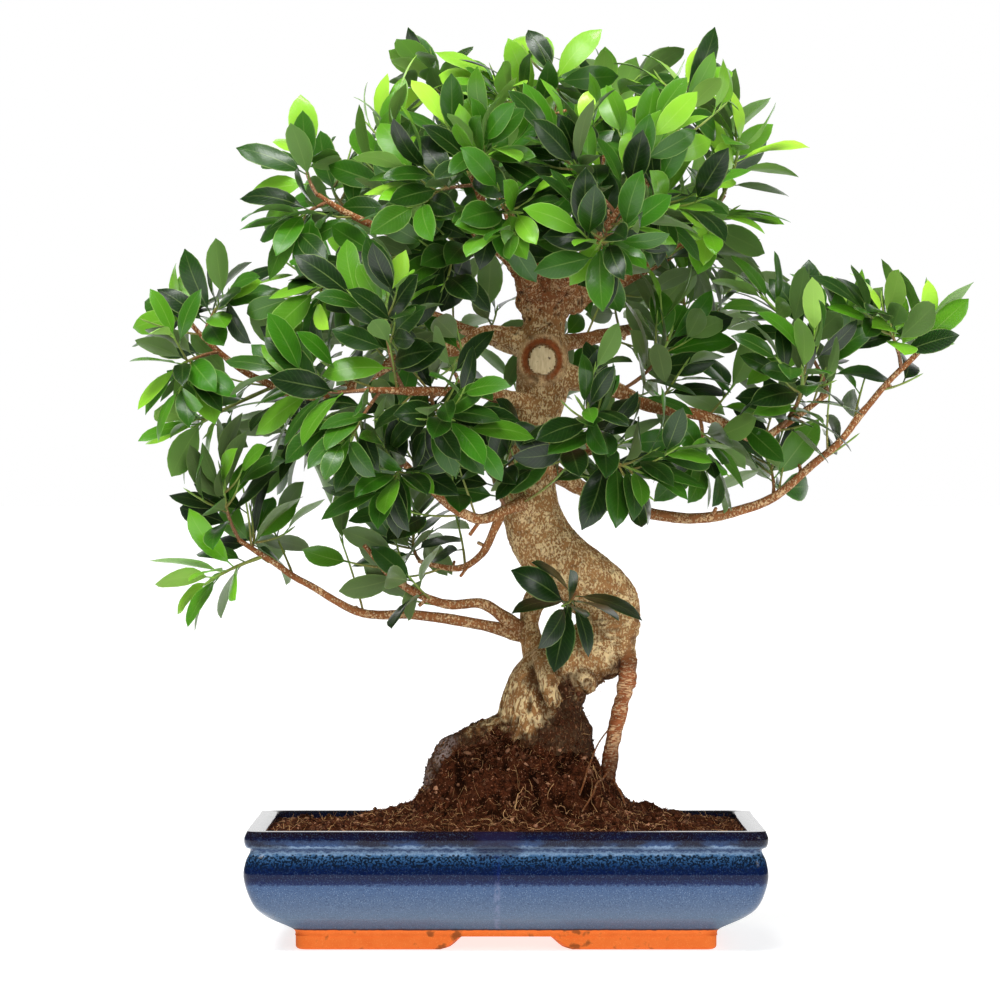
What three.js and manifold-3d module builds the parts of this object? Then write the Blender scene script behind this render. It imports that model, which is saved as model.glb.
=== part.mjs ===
// A Chinese banyan bonsai: an S-curved ficus trunk with an aerial root, its limbs and leafy sprays,
// in a rootball and soil that fill a low blue glazed pot on unglazed clay feet.
// Millimetres, +Z up, the front towards -Y. The plant is laid out about the pot's centre, and the
// whole group is then moved so that its origin is under the middle of its own bounding box.
import * as THREE from 'three';
import { mergeVertices } from 'three/addons/utils/BufferGeometryUtils.js';
import Module from 'manifold-3d';

const wasm = await Module();
wasm.setup();

// Driving sizes
const GAP = 0.35;                 // clearance between two pieces that touch
const RANK = 2 * Math.PI / 3;     // turn from one leaf to the next on a shoot
const UP = new THREE.Vector3(0, 0, 1);
const FRONT = new THREE.Vector3(0, -1, 0);

const POT_LONGER = 60;            // how much longer than deep, half sizes
const RIM_Z = 107;
const UNDERSIDE_Z = 12;           // underside of the pot, as high as its feet
const FLOOR_Z = 21;
// half length and height of the pot's outer profile, from the underside to the rim
const POT_OUTER = [
  [188, UNDERSIDE_Z], [190, 18], [212, 30], [224, 42], [231.5, 64],
  [230, 80], [226, 89.5], [230, 93], [231.5, 100], [229, RIM_Z]];
// and of its inner profile, from the rim down to the floor
const POT_INNER = [[215, RIM_Z], [213, 104], [213, 92], [221, 66], [206, 37], [181, FLOOR_Z]];
const POT_CORNER = 16;            // corner radius in plan, outside
const POT_CORNER_INNER = 9;
const CORNER_STEPS = 3;

const FOOT_OUT = 187;             // half length of the ring of feet
const FOOT_WIDE = 22;             // width of the ring
const FOOT_BEVEL = 3;
const FOOT_GAP_LONG = [42, 60];   // half width of the gap in a long side, at its top and bottom
const FOOT_GAP_SHORT = [28, 42];

const DRAIN_X = 115;
const DRAIN_R = 11;
const SCREEN = 38;                // side of a drain screen
const SCREEN_BARS = 3;
const SCREEN_BAR = 1.8;

const SOIL_EDGE_Z = 100;
const SOIL_CENTRE = new THREE.Vector2(12, 0);
const SOIL_RINGS = [0.8, 0.6, 0.47, 0.38, 0.26];   // share of the way out from the centre

// Centre lines of the wood: x, y, z and radius
const TRUNK = [
  [38, 0, 72, 36], [38, 0, 112, 40], [37, 0, 149, 43], [35, 0, 180, 45], [32, 0, 203, 39],
  [34, 0, 223, 35], [46, 2, 244, 30], [70, 5, 258, 26], [91, 8, 276, 28], [93, 8, 301, 28],
  [77, 4, 322, 28], [56, 0, 339, 28], [36, -2, 358, 28], [25, -2, 381, 26], [22, -1, 403, 24],
  [24, 0, 435, 22], [26, 1, 467, 21], [32, 1, 499, 24], [34, 0, 525, 24], [34, 0, 547, 20],
  [35, 0, 563, 18], [36, 0, 579, 20], [37, 0, 594, 15]];
const STRAND = [                  // the thin stem that closes the eye beside the trunk's bend
  [42, 10, 321, 12], [27, 14, 308, 10], [21, 16, 291, 9], [22, 14, 275, 10], [28, 8, 258, 13],
  [36, 2, 242, 15]];
const AERIAL_ROOT = [
  [109, 6, 264, 8], [111, 2, 246, 8], [109, -2, 232, 7.5], [105, -4, 214, 6], [100, -5, 194, 5.5],
  [96, -6, 176, 5.5], [94, -7, 158, 6.5], [92, -8, 140, 8], [90, -8, 112, 11]];
const FRONT_ROOT = [[32, -18, 263, 8], [34, -33, 247, 9.5], [40, -42, 231, 10], [47, -42, 213, 9]];
const LEFT_ROOT = [
  [-1, -5, 182, 22], [-33, -15, 172, 19], [-52, -20, 159, 17], [-59, -20, 136, 15], [-62, -18, 112, 13]];
const LIMBS = {
  crown_left: [
    [31, -5, 581, 8], [5, -25, 615, 6], [-24, -40, 634, 5], [-59, -55, 639, 4.2], [-88, -65, 634, 3.8],
    [-136, -75, 653, 3], [-169, -80, 672, 2]],
  crown_rear_left: [
    [29, 5, 583, 7.5], [11, 35, 633, 5.5], [-5, 60, 685, 4.5], [-31, 75, 732, 3.2], [-54, 80, 769, 2]],
  crown_top: [
    [35, -5, 588, 7], [26, -20, 639, 5], [35, -40, 688, 4], [41, -50, 737, 3], [45, -55, 768, 2]],
  crown_right_front: [
    [40, -5, 583, 8], [70, -30, 614, 5.5], [95, -55, 644, 4.5], [125, -75, 682, 3.5],
    [154, -80, 731, 2.2]],
  crown_right: [
    [45, 5, 581, 8], [84, 25, 589, 6], [123, 40, 608, 5], [169, 50, 638, 3.6], [201, 50, 680, 2]],
  crown_back: [[37, 8, 585, 7], [55, 70, 634, 5], [78, 120, 683, 4], [98, 150, 737, 2.6]],
  crown_front: [[32, -8, 581, 7], [12, -70, 613, 5], [-13, -120, 646, 4], [-32, -150, 686, 2.6]],
  crown_front_right: [
    [38, -8, 581, 6.5], [62, -75, 610, 4.6], [83, -130, 634, 3.6], [102, -165, 659, 2.4]],
  left: [
    [17, 0, 543, 9], [-19, 0, 550, 7.5], [-43, 5, 537, 7], [-83, 10, 534, 6], [-124, 15, 513, 5],
    [-165, 15, 495, 4], [-204, 10, 499, 3.4], [-255, 0, 528, 2.8], [-289, -5, 563, 2]],
  right: [
    [49, 0, 514, 10], [101, -8, 499, 7], [130, -12, 485, 6.2], [183, -15, 474, 5], [227, -10, 455, 4],
    [254, -5, 468, 3.2], [294, 0, 496, 2.4]],
  low_right: [
    [36, 8, 428, 7], [77, 35, 406, 6], [111, 38, 393, 5.5], [141, 34, 384, 5.2], [178, 27, 383, 4.8],
    [214, 20, 389, 4.5], [249, 13, 404, 4], [280, 6, 432, 3.6], [305, 0, 453, 3.3], [328, -4, 483, 3],
    [356, -5, 514, 2.6], [378, -5, 535, 2.3]],
  front_left: [
    [27, -12, 401, 6.5], [4, -42, 392, 5.2], [-20, -62, 382, 4.8], [-36, -75, 386, 4.4],
    [-62, -95, 404, 3.8], [-93, -115, 435, 3], [-108, -125, 456, 2.2]],
  left_under: [
    [-5, -50, 387, 4], [-11, -42, 372, 3.6], [-23, -24, 348, 3.2], [-46, -4, 336, 2.8],
    [-79, 16, 344, 2]],
  low_left_upper: [
    [13, 6, 282, 6], [-5, 0, 295, 5], [-23, -5, 305, 4.6], [-49, -9, 304, 4.2], [-75, -13, 311, 3.8],
    [-105, -18, 331, 3], [-128, -20, 358, 2]],
  low_left: [
    [13, 8, 277, 6.5], [-15, 5, 284, 5.2], [-36, 7, 288, 4.9], [-76, 10, 294, 4.5], [-116, 11, 294, 4],
    [-141, 10, 300, 3.6], [-183, 6, 324, 3], [-220, 2, 348, 2.6], [-243, 0, 363, 2.2]],
  back_left: [
    [20, 12, 536, 7.5], [-24, 70, 551, 5.5], [-71, 120, 572, 4.5], [-123, 160, 587, 3],
    [-166, 180, 597, 2]],
  back_right: [[45, 12, 540, 7.5], [101, 80, 554, 5.5], [153, 130, 565, 4.2], [206, 160, 573, 2.6]],
  front_left_high: [
    [17, -12, 488, 6.5], [-28, -80, 496, 5], [-72, -135, 495, 4], [-120, -170, 496, 2.6]],
  back_low: [[26, 14, 454, 6], [36, 90, 469, 4.6], [13, 150, 483, 3.2]],
  front_mid: [[31, -14, 437, 5], [53, -70, 439, 3.8], [84, -105, 444, 2.6]],
};
const LIMB_SIDES = 5;
const LIMB_STEP = 56;             // length of a limb between two of its rings

// Where each leafy spray's leading shoot ends
const SPRAY_TIPS = [
  [-68, 35, 778], [-100, -25, 738], [-10, -70, 760], [38, 25, 787], [90, 70, 774], [160, -40, 773],
  [190, 45, 742], [212, 0, 722], [186, 15, 656], [180, 75, 625], [140, -120, 655], [120, -140, 710],
  [45, -160, 705], [-15, -175, 705], [-70, -150, 670], [10, -205, 650], [80, -205, 620],
  [110, 165, 750], [0, 185, 715], [150, 150, 655], [-115, 110, 690], [-60, -135, 610],
  [-180, -40, 712], [-160, 40, 690], [-188, -80, 650], [-252, -30, 584], [-290, 0, 568],
  [-295, -40, 520], [-285, 15, 465], [-255, -25, 410], [-170, -110, 585], [-105, -175, 575],
  [-185, -110, 500], [-135, -165, 455], [-190, 90, 450], [-228, 10, 362], [-268, -15, 326],
  [-85, 45, 365], [-95, -160, 420], [-100, 180, 550], [-50, -200, 470], [235, -30, 580],
  [305, 15, 575], [340, -25, 566], [378, 0, 552], [265, -85, 515], [150, 10, 550], [175, -30, 435],
  [240, 35, 435], [165, 170, 590], [65, -150, 485], [115, -135, 425], [-15, -60, 440],
  [52, -62, 304]];
const YOUNG = [7, 8, 11, 13, 28, 36, 44];      // sprays in fresh light leaf
const TRUNK_SHOOT = 53;                        // the spray that grows straight from the trunk
const TRUNK_BUD = { p: new THREE.Vector3(68, -4, 322), t: new THREE.Vector3(-0.2, -0.9, -0.3) };

const LEAVES_PER_SPRAY = 7;
const LEAVES_TRIED = 11;
const MARKS = 8;                  // places for a spray's root on each straight piece of a limb
const FIRST_MARK = 4;
const SET_BACK = 0.35;            // how far back a spray is rooted, as a share of its distance
const BUD_SPACING = 13;           // least distance between two sprays' roots
const LEAFY_LENGTH = 105;         // how much of a shoot has leaves
const TWIG_R = 1.7;
const SHORT_SHOOT = 120;
const SHOOT_TAPER = 0.25;
const LAST_LEAF = 0.96;           // share of a shoot's length where its last leaf is rooted
const BLADE = [46, 64];           // shortest and longest blade
const BLADE_WIDE = 0.44;          // width as a share of length
const PETIOLE = 9;
const STEM_WIDE = 0.55;           // half width of a petiole, which its root hides inside the twig
const KEEL = 0.9;                 // depth of a blade under its edges, at the midrib
const FOLD = 0.06;                // how far a blade's edges rise, as a share of half its width
// share of the blade's length and of its half width, at each cross-section
const BLADE_SECTIONS = [[0.4, 1], [0.76, 0.7]];

const COLOURS = {
  glaze: 0x24406f, clay: 0xd8672c, soil: 0x2c1a10, wood: 0x7b5a3c,
  leaf: 0x2b5d1e, young_leaf: 0x7fb52c, screen: 0x222426,
};

// Helpers

const vec = (x, y, z) => new THREE.Vector3(x, y, z);

// A number from 0 to 1 that depends only on the spray and on which of its draws this is.
function draw(spray, n) {
  const s = Math.sin(spray * 127.1 + n * 311.7) * 43758.5453;
  return s - Math.floor(s);
}

// A closed skin through a row of rings. A ring of one point closes the skin at a tip.
function loft(rings) {
  const points = rings.flat();
  const starts = [];
  let total = 0;
  for (const ring of rings) {
    starts.push(total);
    total += ring.length;
  }
  const index = [];
  for (let i = 0; i + 1 < rings.length; i++) {
    const [na, nb, a, b] = [rings[i].length, rings[i + 1].length, starts[i], starts[i + 1]];
    const n = Math.max(na, nb);
    for (let j = 0; j < n; j++) {
      const k = (j + 1) % n;
      if (nb === 1) index.push(a + j, a + k, b);
      else if (na === 1) index.push(a, b + k, b + j);
      else index.push(a + j, a + k, b + k, a + j, b + k, b + j);
    }
  }
  const last = starts[rings.length - 1];
  for (let j = 1; j + 1 < rings[0].length; j++) index.push(0, j + 1, j);
  for (let j = 1; j + 1 < rings.at(-1).length; j++) index.push(last, last + j, last + j + 1);
  return new THREE.BufferGeometry().setFromPoints(points).setIndex(index);
}

function solid(geometry) {
  const bare = geometry.clone();
  bare.deleteAttribute('normal');
  bare.deleteAttribute('uv');
  const merged = mergeVertices(bare, 1e-4);
  return new wasm.Manifold(new wasm.Mesh({
    numProp: 3,
    vertProperties: merged.attributes.position.array,
    triVerts: new Uint32Array(merged.index.array),
  }));
}

function geometryOf(made) {
  const mesh = made.getMesh();
  const positions = new Float32Array(mesh.numVert * 3);
  for (let i = 0; i < mesh.numVert; i++) {
    positions.set(mesh.vertProperties.subarray(i * mesh.numProp, i * mesh.numProp + 3), i * 3);
  }
  const geometry = new THREE.BufferGeometry();
  geometry.setAttribute('position', new THREE.BufferAttribute(positions, 3));
  geometry.setIndex(new THREE.BufferAttribute(new Uint32Array(mesh.triVerts), 1));
  geometry.computeVertexNormals();
  return geometry;
}

// The largest body of a solid, without the scraps that a cut leaves.
function mainBody(made) {
  return made.decompose().sort((a, b) => b.volume() - a.volume())[0];
}

// Catmull-Rom through rows of numbers, at a share t of the way along them.
function rowAt(rows, t) {
  const f = Math.min(t, 1) * (rows.length - 1);
  const k = Math.min(Math.floor(f), rows.length - 2);
  const s = f - k;
  const at = (i) => rows[Math.max(0, Math.min(rows.length - 1, i))];
  const [a, b, c, d] = [at(k - 1), at(k), at(k + 1), at(k + 2)];
  return b.map((_, i) => 0.5 * (2 * b[i] + (c[i] - a[i]) * s
    + (2 * a[i] - 5 * b[i] + 4 * c[i] - d[i]) * s * s + (3 * b[i] - a[i] - 3 * c[i] + d[i]) * s * s * s));
}

function lengthOf(rows) {
  const points = rows.map(([x, y, z]) => vec(x, y, z));
  return points.slice(1).reduce((sum, p, i) => sum + p.distanceTo(points[i]), 0);
}

// Points with a radius along rows of x, y, z and radius.
function walk(rows, steps) {
  const made = [];
  for (let i = 0; i <= steps; i++) {
    const [x, y, z, r] = rowAt(rows, i / steps);
    made.push({ p: vec(x, y, z), r });
  }
  return made;
}

function limbSamples(rows) {
  return walk(rows, Math.max(4, Math.round(lengthOf(rows) / LIMB_STEP)));
}

function tangentAt(samples, i) {
  const [a, b] = [samples[Math.max(0, i - 1)], samples[Math.min(samples.length - 1, i + 1)]];
  return b.p.clone().sub(a.p).normalize();
}

function across(direction) {
  const other = Math.abs(direction.z) < 0.9 ? UP : vec(1, 0, 0);
  return other.clone().cross(direction).normalize();
}

// A tube round samples, thicker by grow. swell(angle, share along) scales its radius.
function tube(samples, sides, grow = 0, swell = () => 1) {
  const rings = [];
  let u = across(tangentAt(samples, 0));
  samples.forEach((sample, i) => {
    const t = tangentAt(samples, i);
    u = u.sub(t.clone().multiplyScalar(u.dot(t))).normalize();
    const v = t.clone().cross(u);
    const end = i === 0 ? -grow : i === samples.length - 1 ? grow : 0;
    const centre = sample.p.clone().addScaledVector(t, end);
    const ring = [];
    for (let j = 0; j < sides; j++) {
      const angle = 2 * Math.PI * j / sides;
      const r = sample.r * swell(angle, i / (samples.length - 1)) + grow;
      ring.push(centre.clone()
        .addScaledVector(u, r * Math.cos(angle)).addScaledVector(v, r * Math.sin(angle)));
    }
    rings.push(ring);
  });
  return loft(rings);
}

// Pot

// A rounded rectangle about the pot's centre, at one height, starting at its right-hand side.
function potRing(half, z, corner) {
  const ring = [];
  for (const [sx, sy, from] of [[1, 1, 0], [-1, 1, 90], [-1, -1, 180], [1, -1, 270]]) {
    for (let i = 0; i <= CORNER_STEPS; i++) {
      const a = THREE.MathUtils.degToRad(from + 90 * i / CORNER_STEPS);
      ring.push(vec(
        sx * (half - corner) + corner * Math.cos(a),
        sy * (half - POT_LONGER - corner) + corner * Math.sin(a), z));
    }
  }
  return ring;
}

// A prism with sloping sides that cuts the gap in one pair of the feet's sides.
function footGap([top, bottom], length, alongX) {
  const half = [[bottom, -1], [bottom - 1, 1.5], [top, UNDERSIDE_Z]];
  const shape = new THREE.Shape([
    ...half.map(([x, z]) => new THREE.Vector2(x, z)),
    ...half.toReversed().map(([x, z]) => new THREE.Vector2(-x, z))]);
  const geometry = new THREE.ExtrudeGeometry(shape, { depth: length, bevelEnabled: false });
  geometry.translate(0, 0, -length / 2).rotateX(Math.PI / 2);
  if (alongX) geometry.rotateZ(Math.PI / 2);
  return solid(geometry);
}

function feet() {
  const outer = [[FOOT_OUT - FOOT_BEVEL, 0], [FOOT_OUT, FOOT_BEVEL], [FOOT_OUT, UNDERSIDE_Z + 2]];
  const inner = FOOT_OUT - FOOT_WIDE;
  const ring = solid(loft(outer.map(([half, z]) => potRing(half, z, POT_CORNER_INNER))));
  const middle = solid(loft([-1, UNDERSIDE_Z + 3].map((z) => potRing(inner, z, POT_CORNER_INNER))));
  return ring.subtract(middle)
    .subtract(footGap(FOOT_GAP_LONG, 2 * FOOT_OUT, false))
    .subtract(footGap(FOOT_GAP_SHORT, 3 * FOOT_OUT, true));
}

function drainHole(x) {
  const hole = new THREE.CylinderGeometry(DRAIN_R, DRAIN_R, 3 * UNDERSIDE_Z, 12);
  return solid(hole.rotateX(Math.PI / 2).translate(x, 0, FLOOR_Z));
}

function pot() {
  const outer = POT_OUTER.map(([half, z]) => potRing(half, z, POT_CORNER));
  const inner = POT_INNER.map(([half, z]) => potRing(half, z, POT_CORNER_INNER));
  return solid(loft([...outer, ...inner]))
    .add(feet())
    .subtract(drainHole(-DRAIN_X))
    .subtract(drainHole(DRAIN_X));
}

// A square plastic mesh that lies on the pot's floor over a drain hole.
function drainScreen(x) {
  const pitch = (SCREEN - SCREEN_BAR) / (SCREEN_BARS - 1);
  let made = null;
  for (let i = 0; i < SCREEN_BARS; i++) {
    const offset = i * pitch - (SCREEN - SCREEN_BAR) / 2;
    const along = new THREE.BoxGeometry(SCREEN, SCREEN_BAR, 1.2).translate(0, offset, 0);
    const over = new THREE.BoxGeometry(SCREEN_BAR, SCREEN, 1.2).translate(offset, 0, 0);
    const pair = solid(along).add(solid(over));
    made = made ? made.add(pair) : pair;
  }
  return made.translate([x, 0, FLOOR_Z + GAP + 0.6]);
}

// Soil

// Height of the soil: level at the rim, heaped towards the trunk, with a steep rootball under it.
function soilHeight(x, y) {
  const heap = 44 * Math.exp(-(((x - 18) / 122) ** 2) - (y / 88) ** 2);
  const ball = 46 * Math.exp(-(((x - 10) / 80) ** 6) - Math.abs(y / 66) ** 6);
  return SOIL_EDGE_Z + heap + ball + 2.2 * Math.sin(x * 0.11) * Math.cos(y * 0.13);
}

function soil(holes) {
  const walls = [...POT_INNER].reverse().slice(0, -2)
    .map(([half, z]) => potRing(half - GAP, z === FLOOR_Z ? z + 3 * GAP + 1.2 : z, POT_CORNER_INNER));
  const edge = potRing(POT_INNER[1][0] - GAP, 0, POT_CORNER_INNER);
  const ringAt = (share) => edge.map((p) => {
    const x = SOIL_CENTRE.x + (p.x - SOIL_CENTRE.x) * share;
    const y = SOIL_CENTRE.y + (p.y - SOIL_CENTRE.y) * share;
    return vec(x, y, soilHeight(x, y));
  });
  const heart = vec(SOIL_CENTRE.x, SOIL_CENTRE.y, soilHeight(SOIL_CENTRE.x, SOIL_CENTRE.y));
  const rings = [...walls, ringAt(1), ...SOIL_RINGS.map(ringAt), [heart]].map(subdivide);
  return mainBody(solid(loft(rings)).subtract(holes));
}

// Adds points along a pot ring's straight sides, so that the soil's surface can undulate.
function subdivide(ring) {
  if (ring.length === 1) return ring;
  const made = [];
  ring.forEach((p, i) => {
    const next = ring[(i + 1) % ring.length];
    made.push(p);
    if (i % (CORNER_STEPS + 1) === CORNER_STEPS) {
      const pieces = i % (2 * CORNER_STEPS + 2) === CORNER_STEPS ? 5 : 3;
      for (let k = 1; k < pieces; k++) made.push(p.clone().lerp(next, k / pieces));
    }
  });
  return made;
}

// Wood

// Flutes that swell the trunk towards its roots.
function trunkSwell(angle, share) {
  const low = Math.max(0, 1 - share / 0.28);
  return 1 + 0.09 * low * Math.sin(3 * angle + 0.6) + 0.03 * Math.sin(2 * angle + 9 * share);
}

// A healed cut: an oval ring of callus round flat bare wood, facing the front.
function scar(x, y, z, wide, high, grow) {
  const oval = (w, h, out) => {
    const ring = [];
    for (let j = 0; j < 12; j++) {
      const a = 2 * Math.PI * j / 12;
      ring.push(vec(x + (wide * w + grow) * Math.cos(a), y - out, z + (high * h + grow) * Math.sin(a)));
    }
    return ring;
  };
  const callus = [oval(1, 1, -8), oval(1, 1, 3 + grow), oval(0.88, 0.9, 6 + grow)];
  const cut = [oval(0.7, 0.76, 5.5), oval(0.62, 0.68, 2.5)];
  return solid(loft(grow ? callus : [...callus, ...cut]));
}

// All the wood as one body, thicker by grow where it has to clear a neighbour.
function wood(grow) {
  const parts = [
    solid(tube(walk(TRUNK, 27), 10, grow, trunkSwell)),
    solid(tube(walk(STRAND, 6), 7, grow)),
    solid(tube(walk(AERIAL_ROOT, 9), 7, grow)),
    solid(tube(walk(FRONT_ROOT, 4), 7, grow)),
    solid(tube(walk(LEFT_ROOT, 6), 8, grow)),
    scar(34, -22, 525, 17, 20, grow),
  ];
  for (const rows of Object.values(LIMBS)) {
    parts.push(solid(tube(limbSamples(rows), LIMB_SIDES, grow)));
  }
  return wasm.Manifold.union(parts);
}

// Leafy sprays

// Even places along the straight pieces that a limb's tube is made of.
function marksOn(samples) {
  const marks = [];
  for (let k = 0; k <= (samples.length - 1) * MARKS; k++) {
    const i = Math.min(Math.floor(k / MARKS), samples.length - 2);
    marks.push({ p: samples[i].p.clone().lerp(samples[i + 1].p, k / MARKS - i) });
  }
  return marks;
}

// The point that a spray grows from: the nearest on any limb, then back along it towards the trunk,
// clear of the sprays that are already on it.
function originOf(tip, taken) {
  let best = { distance: Infinity };
  for (const rows of Object.values(LIMBS)) {
    const marks = marksOn(limbSamples(rows));
    marks.forEach((mark, i) => {
      const distance = mark.p.distanceTo(tip);
      if (i >= FIRST_MARK && distance < best.distance) best = { distance, marks, i };
    });
  }
  const { marks } = best;
  let { i } = best;
  if (i < marks.length - 1) {
    for (let back = SET_BACK * best.distance; i > FIRST_MARK && back > 0; i--) {
      back -= marks[i].p.distanceTo(marks[i - 1].p);
    }
  }
  while (i > FIRST_MARK && taken.some((p) => p.distanceTo(marks[i].p) < BUD_SPACING)) i--;
  taken.push(marks[i].p);
  return { p: marks[i].p.clone(), t: tangentAt(marks, i) };
}

// A shoot bends in one plane, from a past b to c. normal is square to that plane.
function makeShoot(a, b, c, steps, r) {
  return { a, b, c, steps, r, normal: b.clone().sub(a).cross(c.clone().sub(a)).normalize(), leaves: [] };
}

const bend = ({ a, b, c }, t) => a.clone().multiplyScalar((1 - t) ** 2)
  .addScaledVector(b, 2 * t * (1 - t)).addScaledVector(c, t * t);
const bendTangent = ({ a, b, c }, t) => b.clone().sub(a).multiplyScalar(1 - t)
  .addScaledVector(c.clone().sub(b), t).normalize();

// A point on the straight pieces that a shoot's tube is made of.
function onShoot(shoot, t) {
  const k = Math.min(Math.floor(t * shoot.steps), shoot.steps - 1);
  return bend(shoot, k / shoot.steps).lerp(bend(shoot, (k + 1) / shoot.steps), t * shoot.steps - k);
}

// Which way the foliage at a point faces: level, away from the tree's middle.
function outward(p) {
  return vec(p.x - 25, p.y, 0).normalize();
}

// A direction that leans from a shoot at t by an opening angle, at a turn round it.
function lean(shoot, t, opening, turn) {
  const axis = bendTangent(shoot, t);
  const v = axis.clone().cross(shoot.normal);
  return axis.multiplyScalar(Math.cos(opening))
    .addScaledVector(shoot.normal, Math.sin(opening) * Math.cos(turn))
    .addScaledVector(v, Math.sin(opening) * Math.sin(turn));
}

// Where leaf n of a spray stands on its shoot, at t, and how it is turned. share is 1 at the tip.
// Leaves stand in three ranks, each clear of the shoot's edges.
function leafPlan(spray, n, shoot, t, share) {
  const turn = Math.PI / 3 + n * RANK + 0.4 * (draw(spray, 410 + n) - 0.5);
  const opening = THREE.MathUtils.degToRad(70 - 40 * share + 16 * (draw(spray, 10 + n) - 0.5));
  const out = outward(shoot.a);
  const d = lean(shoot, t, opening, turn).addScaledVector(UP, 0.1).addScaledVector(out, 0.18).normalize();
  const facing = UP.clone().multiplyScalar(0.4 + 0.5 * draw(spray, 60 + n))
    .addScaledVector(out, 0.7)
    .addScaledVector(FRONT, 0.4)
    .addScaledVector(vec(...[110, 160, 210].map((from) => draw(spray, from + n) - 0.5)), 1.4);
  const side = d.clone().cross(facing).normalize();
  const length = THREE.MathUtils.lerp(BLADE[0], BLADE[1], draw(spray, 260 + n));
  return {
    p: onShoot(shoot, t), d, side, n: side.clone().cross(d).normalize(), length,
    wide: length * BLADE_WIDE * (0.9 + 0.2 * draw(spray, 310 + n)),
    arch: 0.25 + 0.45 * draw(spray, 360 + n),
  };
}

// The leading shoot and leaves of one spray.
function sprayPlan(spray, taken) {
  const tip = vec(...SPRAY_TIPS[spray]);
  const origin = spray === TRUNK_SHOOT ? TRUNK_BUD : originOf(tip, taken);
  const reach = origin.p.distanceTo(tip);
  const knee = origin.p.clone().lerp(tip, 0.5)
    .addScaledVector(origin.t, 0.16 * reach).addScaledVector(UP, -0.08 * reach);
  const shoot = makeShoot(origin.p, knee, tip, reach < SHORT_SHOOT ? 2 : 3, TWIG_R + 0.003 * reach);
  const from = Math.max(0.28, 1 - LEAFY_LENGTH / reach);
  for (let k = 0; k < LEAVES_TRIED; k++) {
    const share = k / (LEAVES_TRIED - 1);
    shoot.leaves.push(leafPlan(spray, k, shoot, from + (LAST_LEAF - from) * share, share));
  }
  return shoot;
}

// A leaf as a thin keeled blade on its petiole, arched along its length, larger all round by grow.
function leafSolid(leaf, grow = 0, bladeOnly = false) {
  const total = PETIOLE + leaf.length;
  const section = (along, half, keel) => {
    const fall = leaf.arch * Math.max(0, along - PETIOLE) / leaf.length;
    const reach = Math.max(0, along - PETIOLE);
    const middle = leaf.p.clone()
      .addScaledVector(leaf.d, Math.min(along, PETIOLE) + reach * Math.cos(fall / 2))
      .addScaledVector(leaf.n, -reach * Math.sin(fall / 2));
    const edge = (sign) => middle.clone().addScaledVector(leaf.side, sign * (half + grow))
      .addScaledVector(leaf.n, FOLD * half + grow);
    return [edge(1), middle.clone().addScaledVector(leaf.n, -keel - grow), edge(-1)];
  };
  const rings = [section(bladeOnly ? PETIOLE : 0, STEM_WIDE, STEM_WIDE)];
  for (const [along, wide] of BLADE_SECTIONS) {
    rings.push(section(PETIOLE + along * leaf.length, 0.5 * wide * leaf.wide, KEEL));
  }
  const tip = section(total + grow, 0, 0);
  rings.push(grow ? tip : [tip[1]]);
  return solid(loft(rings));
}

// A shoot's tube of three sides. Its faces look the way that its ranks of leaves grow.
function shootSolid(shoot) {
  const rings = [];
  for (let i = 0; i <= shoot.steps; i++) {
    const t = i / shoot.steps;
    const v = bendTangent(shoot, t).cross(shoot.normal);
    const r = shoot.r * (1 - SHOOT_TAPER * t);
    const centre = onShoot(shoot, t);
    rings.push([0, 1, 2].map((j) => centre.clone()
      .addScaledVector(shoot.normal, r * Math.cos(j * RANK)).addScaledVector(v, r * Math.sin(j * RANK))));
  }
  return solid(loft(rings));
}

function boxesMeet(a, b) {
  return a.min.every((low, k) => low <= b.max[k] && b.min[k] <= a.max[k]);
}

function crosses(guard, placed) {
  const box = guard.boundingBox();
  return placed.some((other) => boxesMeet(box, other.box) && !guard.intersect(other.made).isEmpty());
}

// Every spray as one body. A leaf that would cross what is already there is left out.
function sprays(clearance) {
  const clear = [{ made: clearance, box: clearance.boundingBox() }];
  const placed = SPRAY_TIPS.map(() => []);
  const put = (spray, made) => placed[spray].push({ made, box: made.boundingBox() });
  const taken = [];
  const plans = SPRAY_TIPS.map((_, spray) => sprayPlan(spray, taken));
  plans.forEach((shoot, spray) => put(spray, shootSolid(shoot)));
  plans.forEach((shoot, spray) => {
    const others = [...clear, ...placed.flatMap((list, i) => (i === spray ? [] : list))];
    let count = 0;
    for (const leaf of shoot.leaves.toReversed()) {
      if (count === LEAVES_PER_SPRAY || crosses(leafSolid(leaf, 0.5), others)) continue;
      if (crosses(leafSolid(leaf, 0.3, true), placed[spray])) continue;
      put(spray, leafSolid(leaf));
      count += 1;
    }
  });
  return placed.map((list) => {
    const whole = wasm.Manifold.union(list.map((one) => one.made));
    return mainBody(whole.subtract(clearance));
  });
}

// Assembly

function material(colour, roughness) {
  return new THREE.MeshStandardMaterial({ color: colour, roughness, metalness: 0 });
}

const bonsai = new THREE.Group();

function add(name, made, colour, roughness) {
  const mesh = new THREE.Mesh(geometryOf(made), material(colour, roughness));
  mesh.name = name;
  bonsai.add(mesh);
}

const clearance = wood(GAP);
add('pot', pot(), COLOURS.glaze, 0.25);
add('drain_screen_left', drainScreen(-DRAIN_X), COLOURS.screen, 0.6);
add('drain_screen_right', drainScreen(DRAIN_X), COLOURS.screen, 0.6);
add('soil', soil(clearance), COLOURS.soil, 0.95);
add('trunk_and_limbs', wood(0), COLOURS.wood, 0.85);
sprays(clearance).forEach((made, spray) => {
  const name = `spray_${String(spray).padStart(2, '0')}`;
  add(name, made, YOUNG.includes(spray) ? COLOURS.young_leaf : COLOURS.leaf, 0.4);
});

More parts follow.
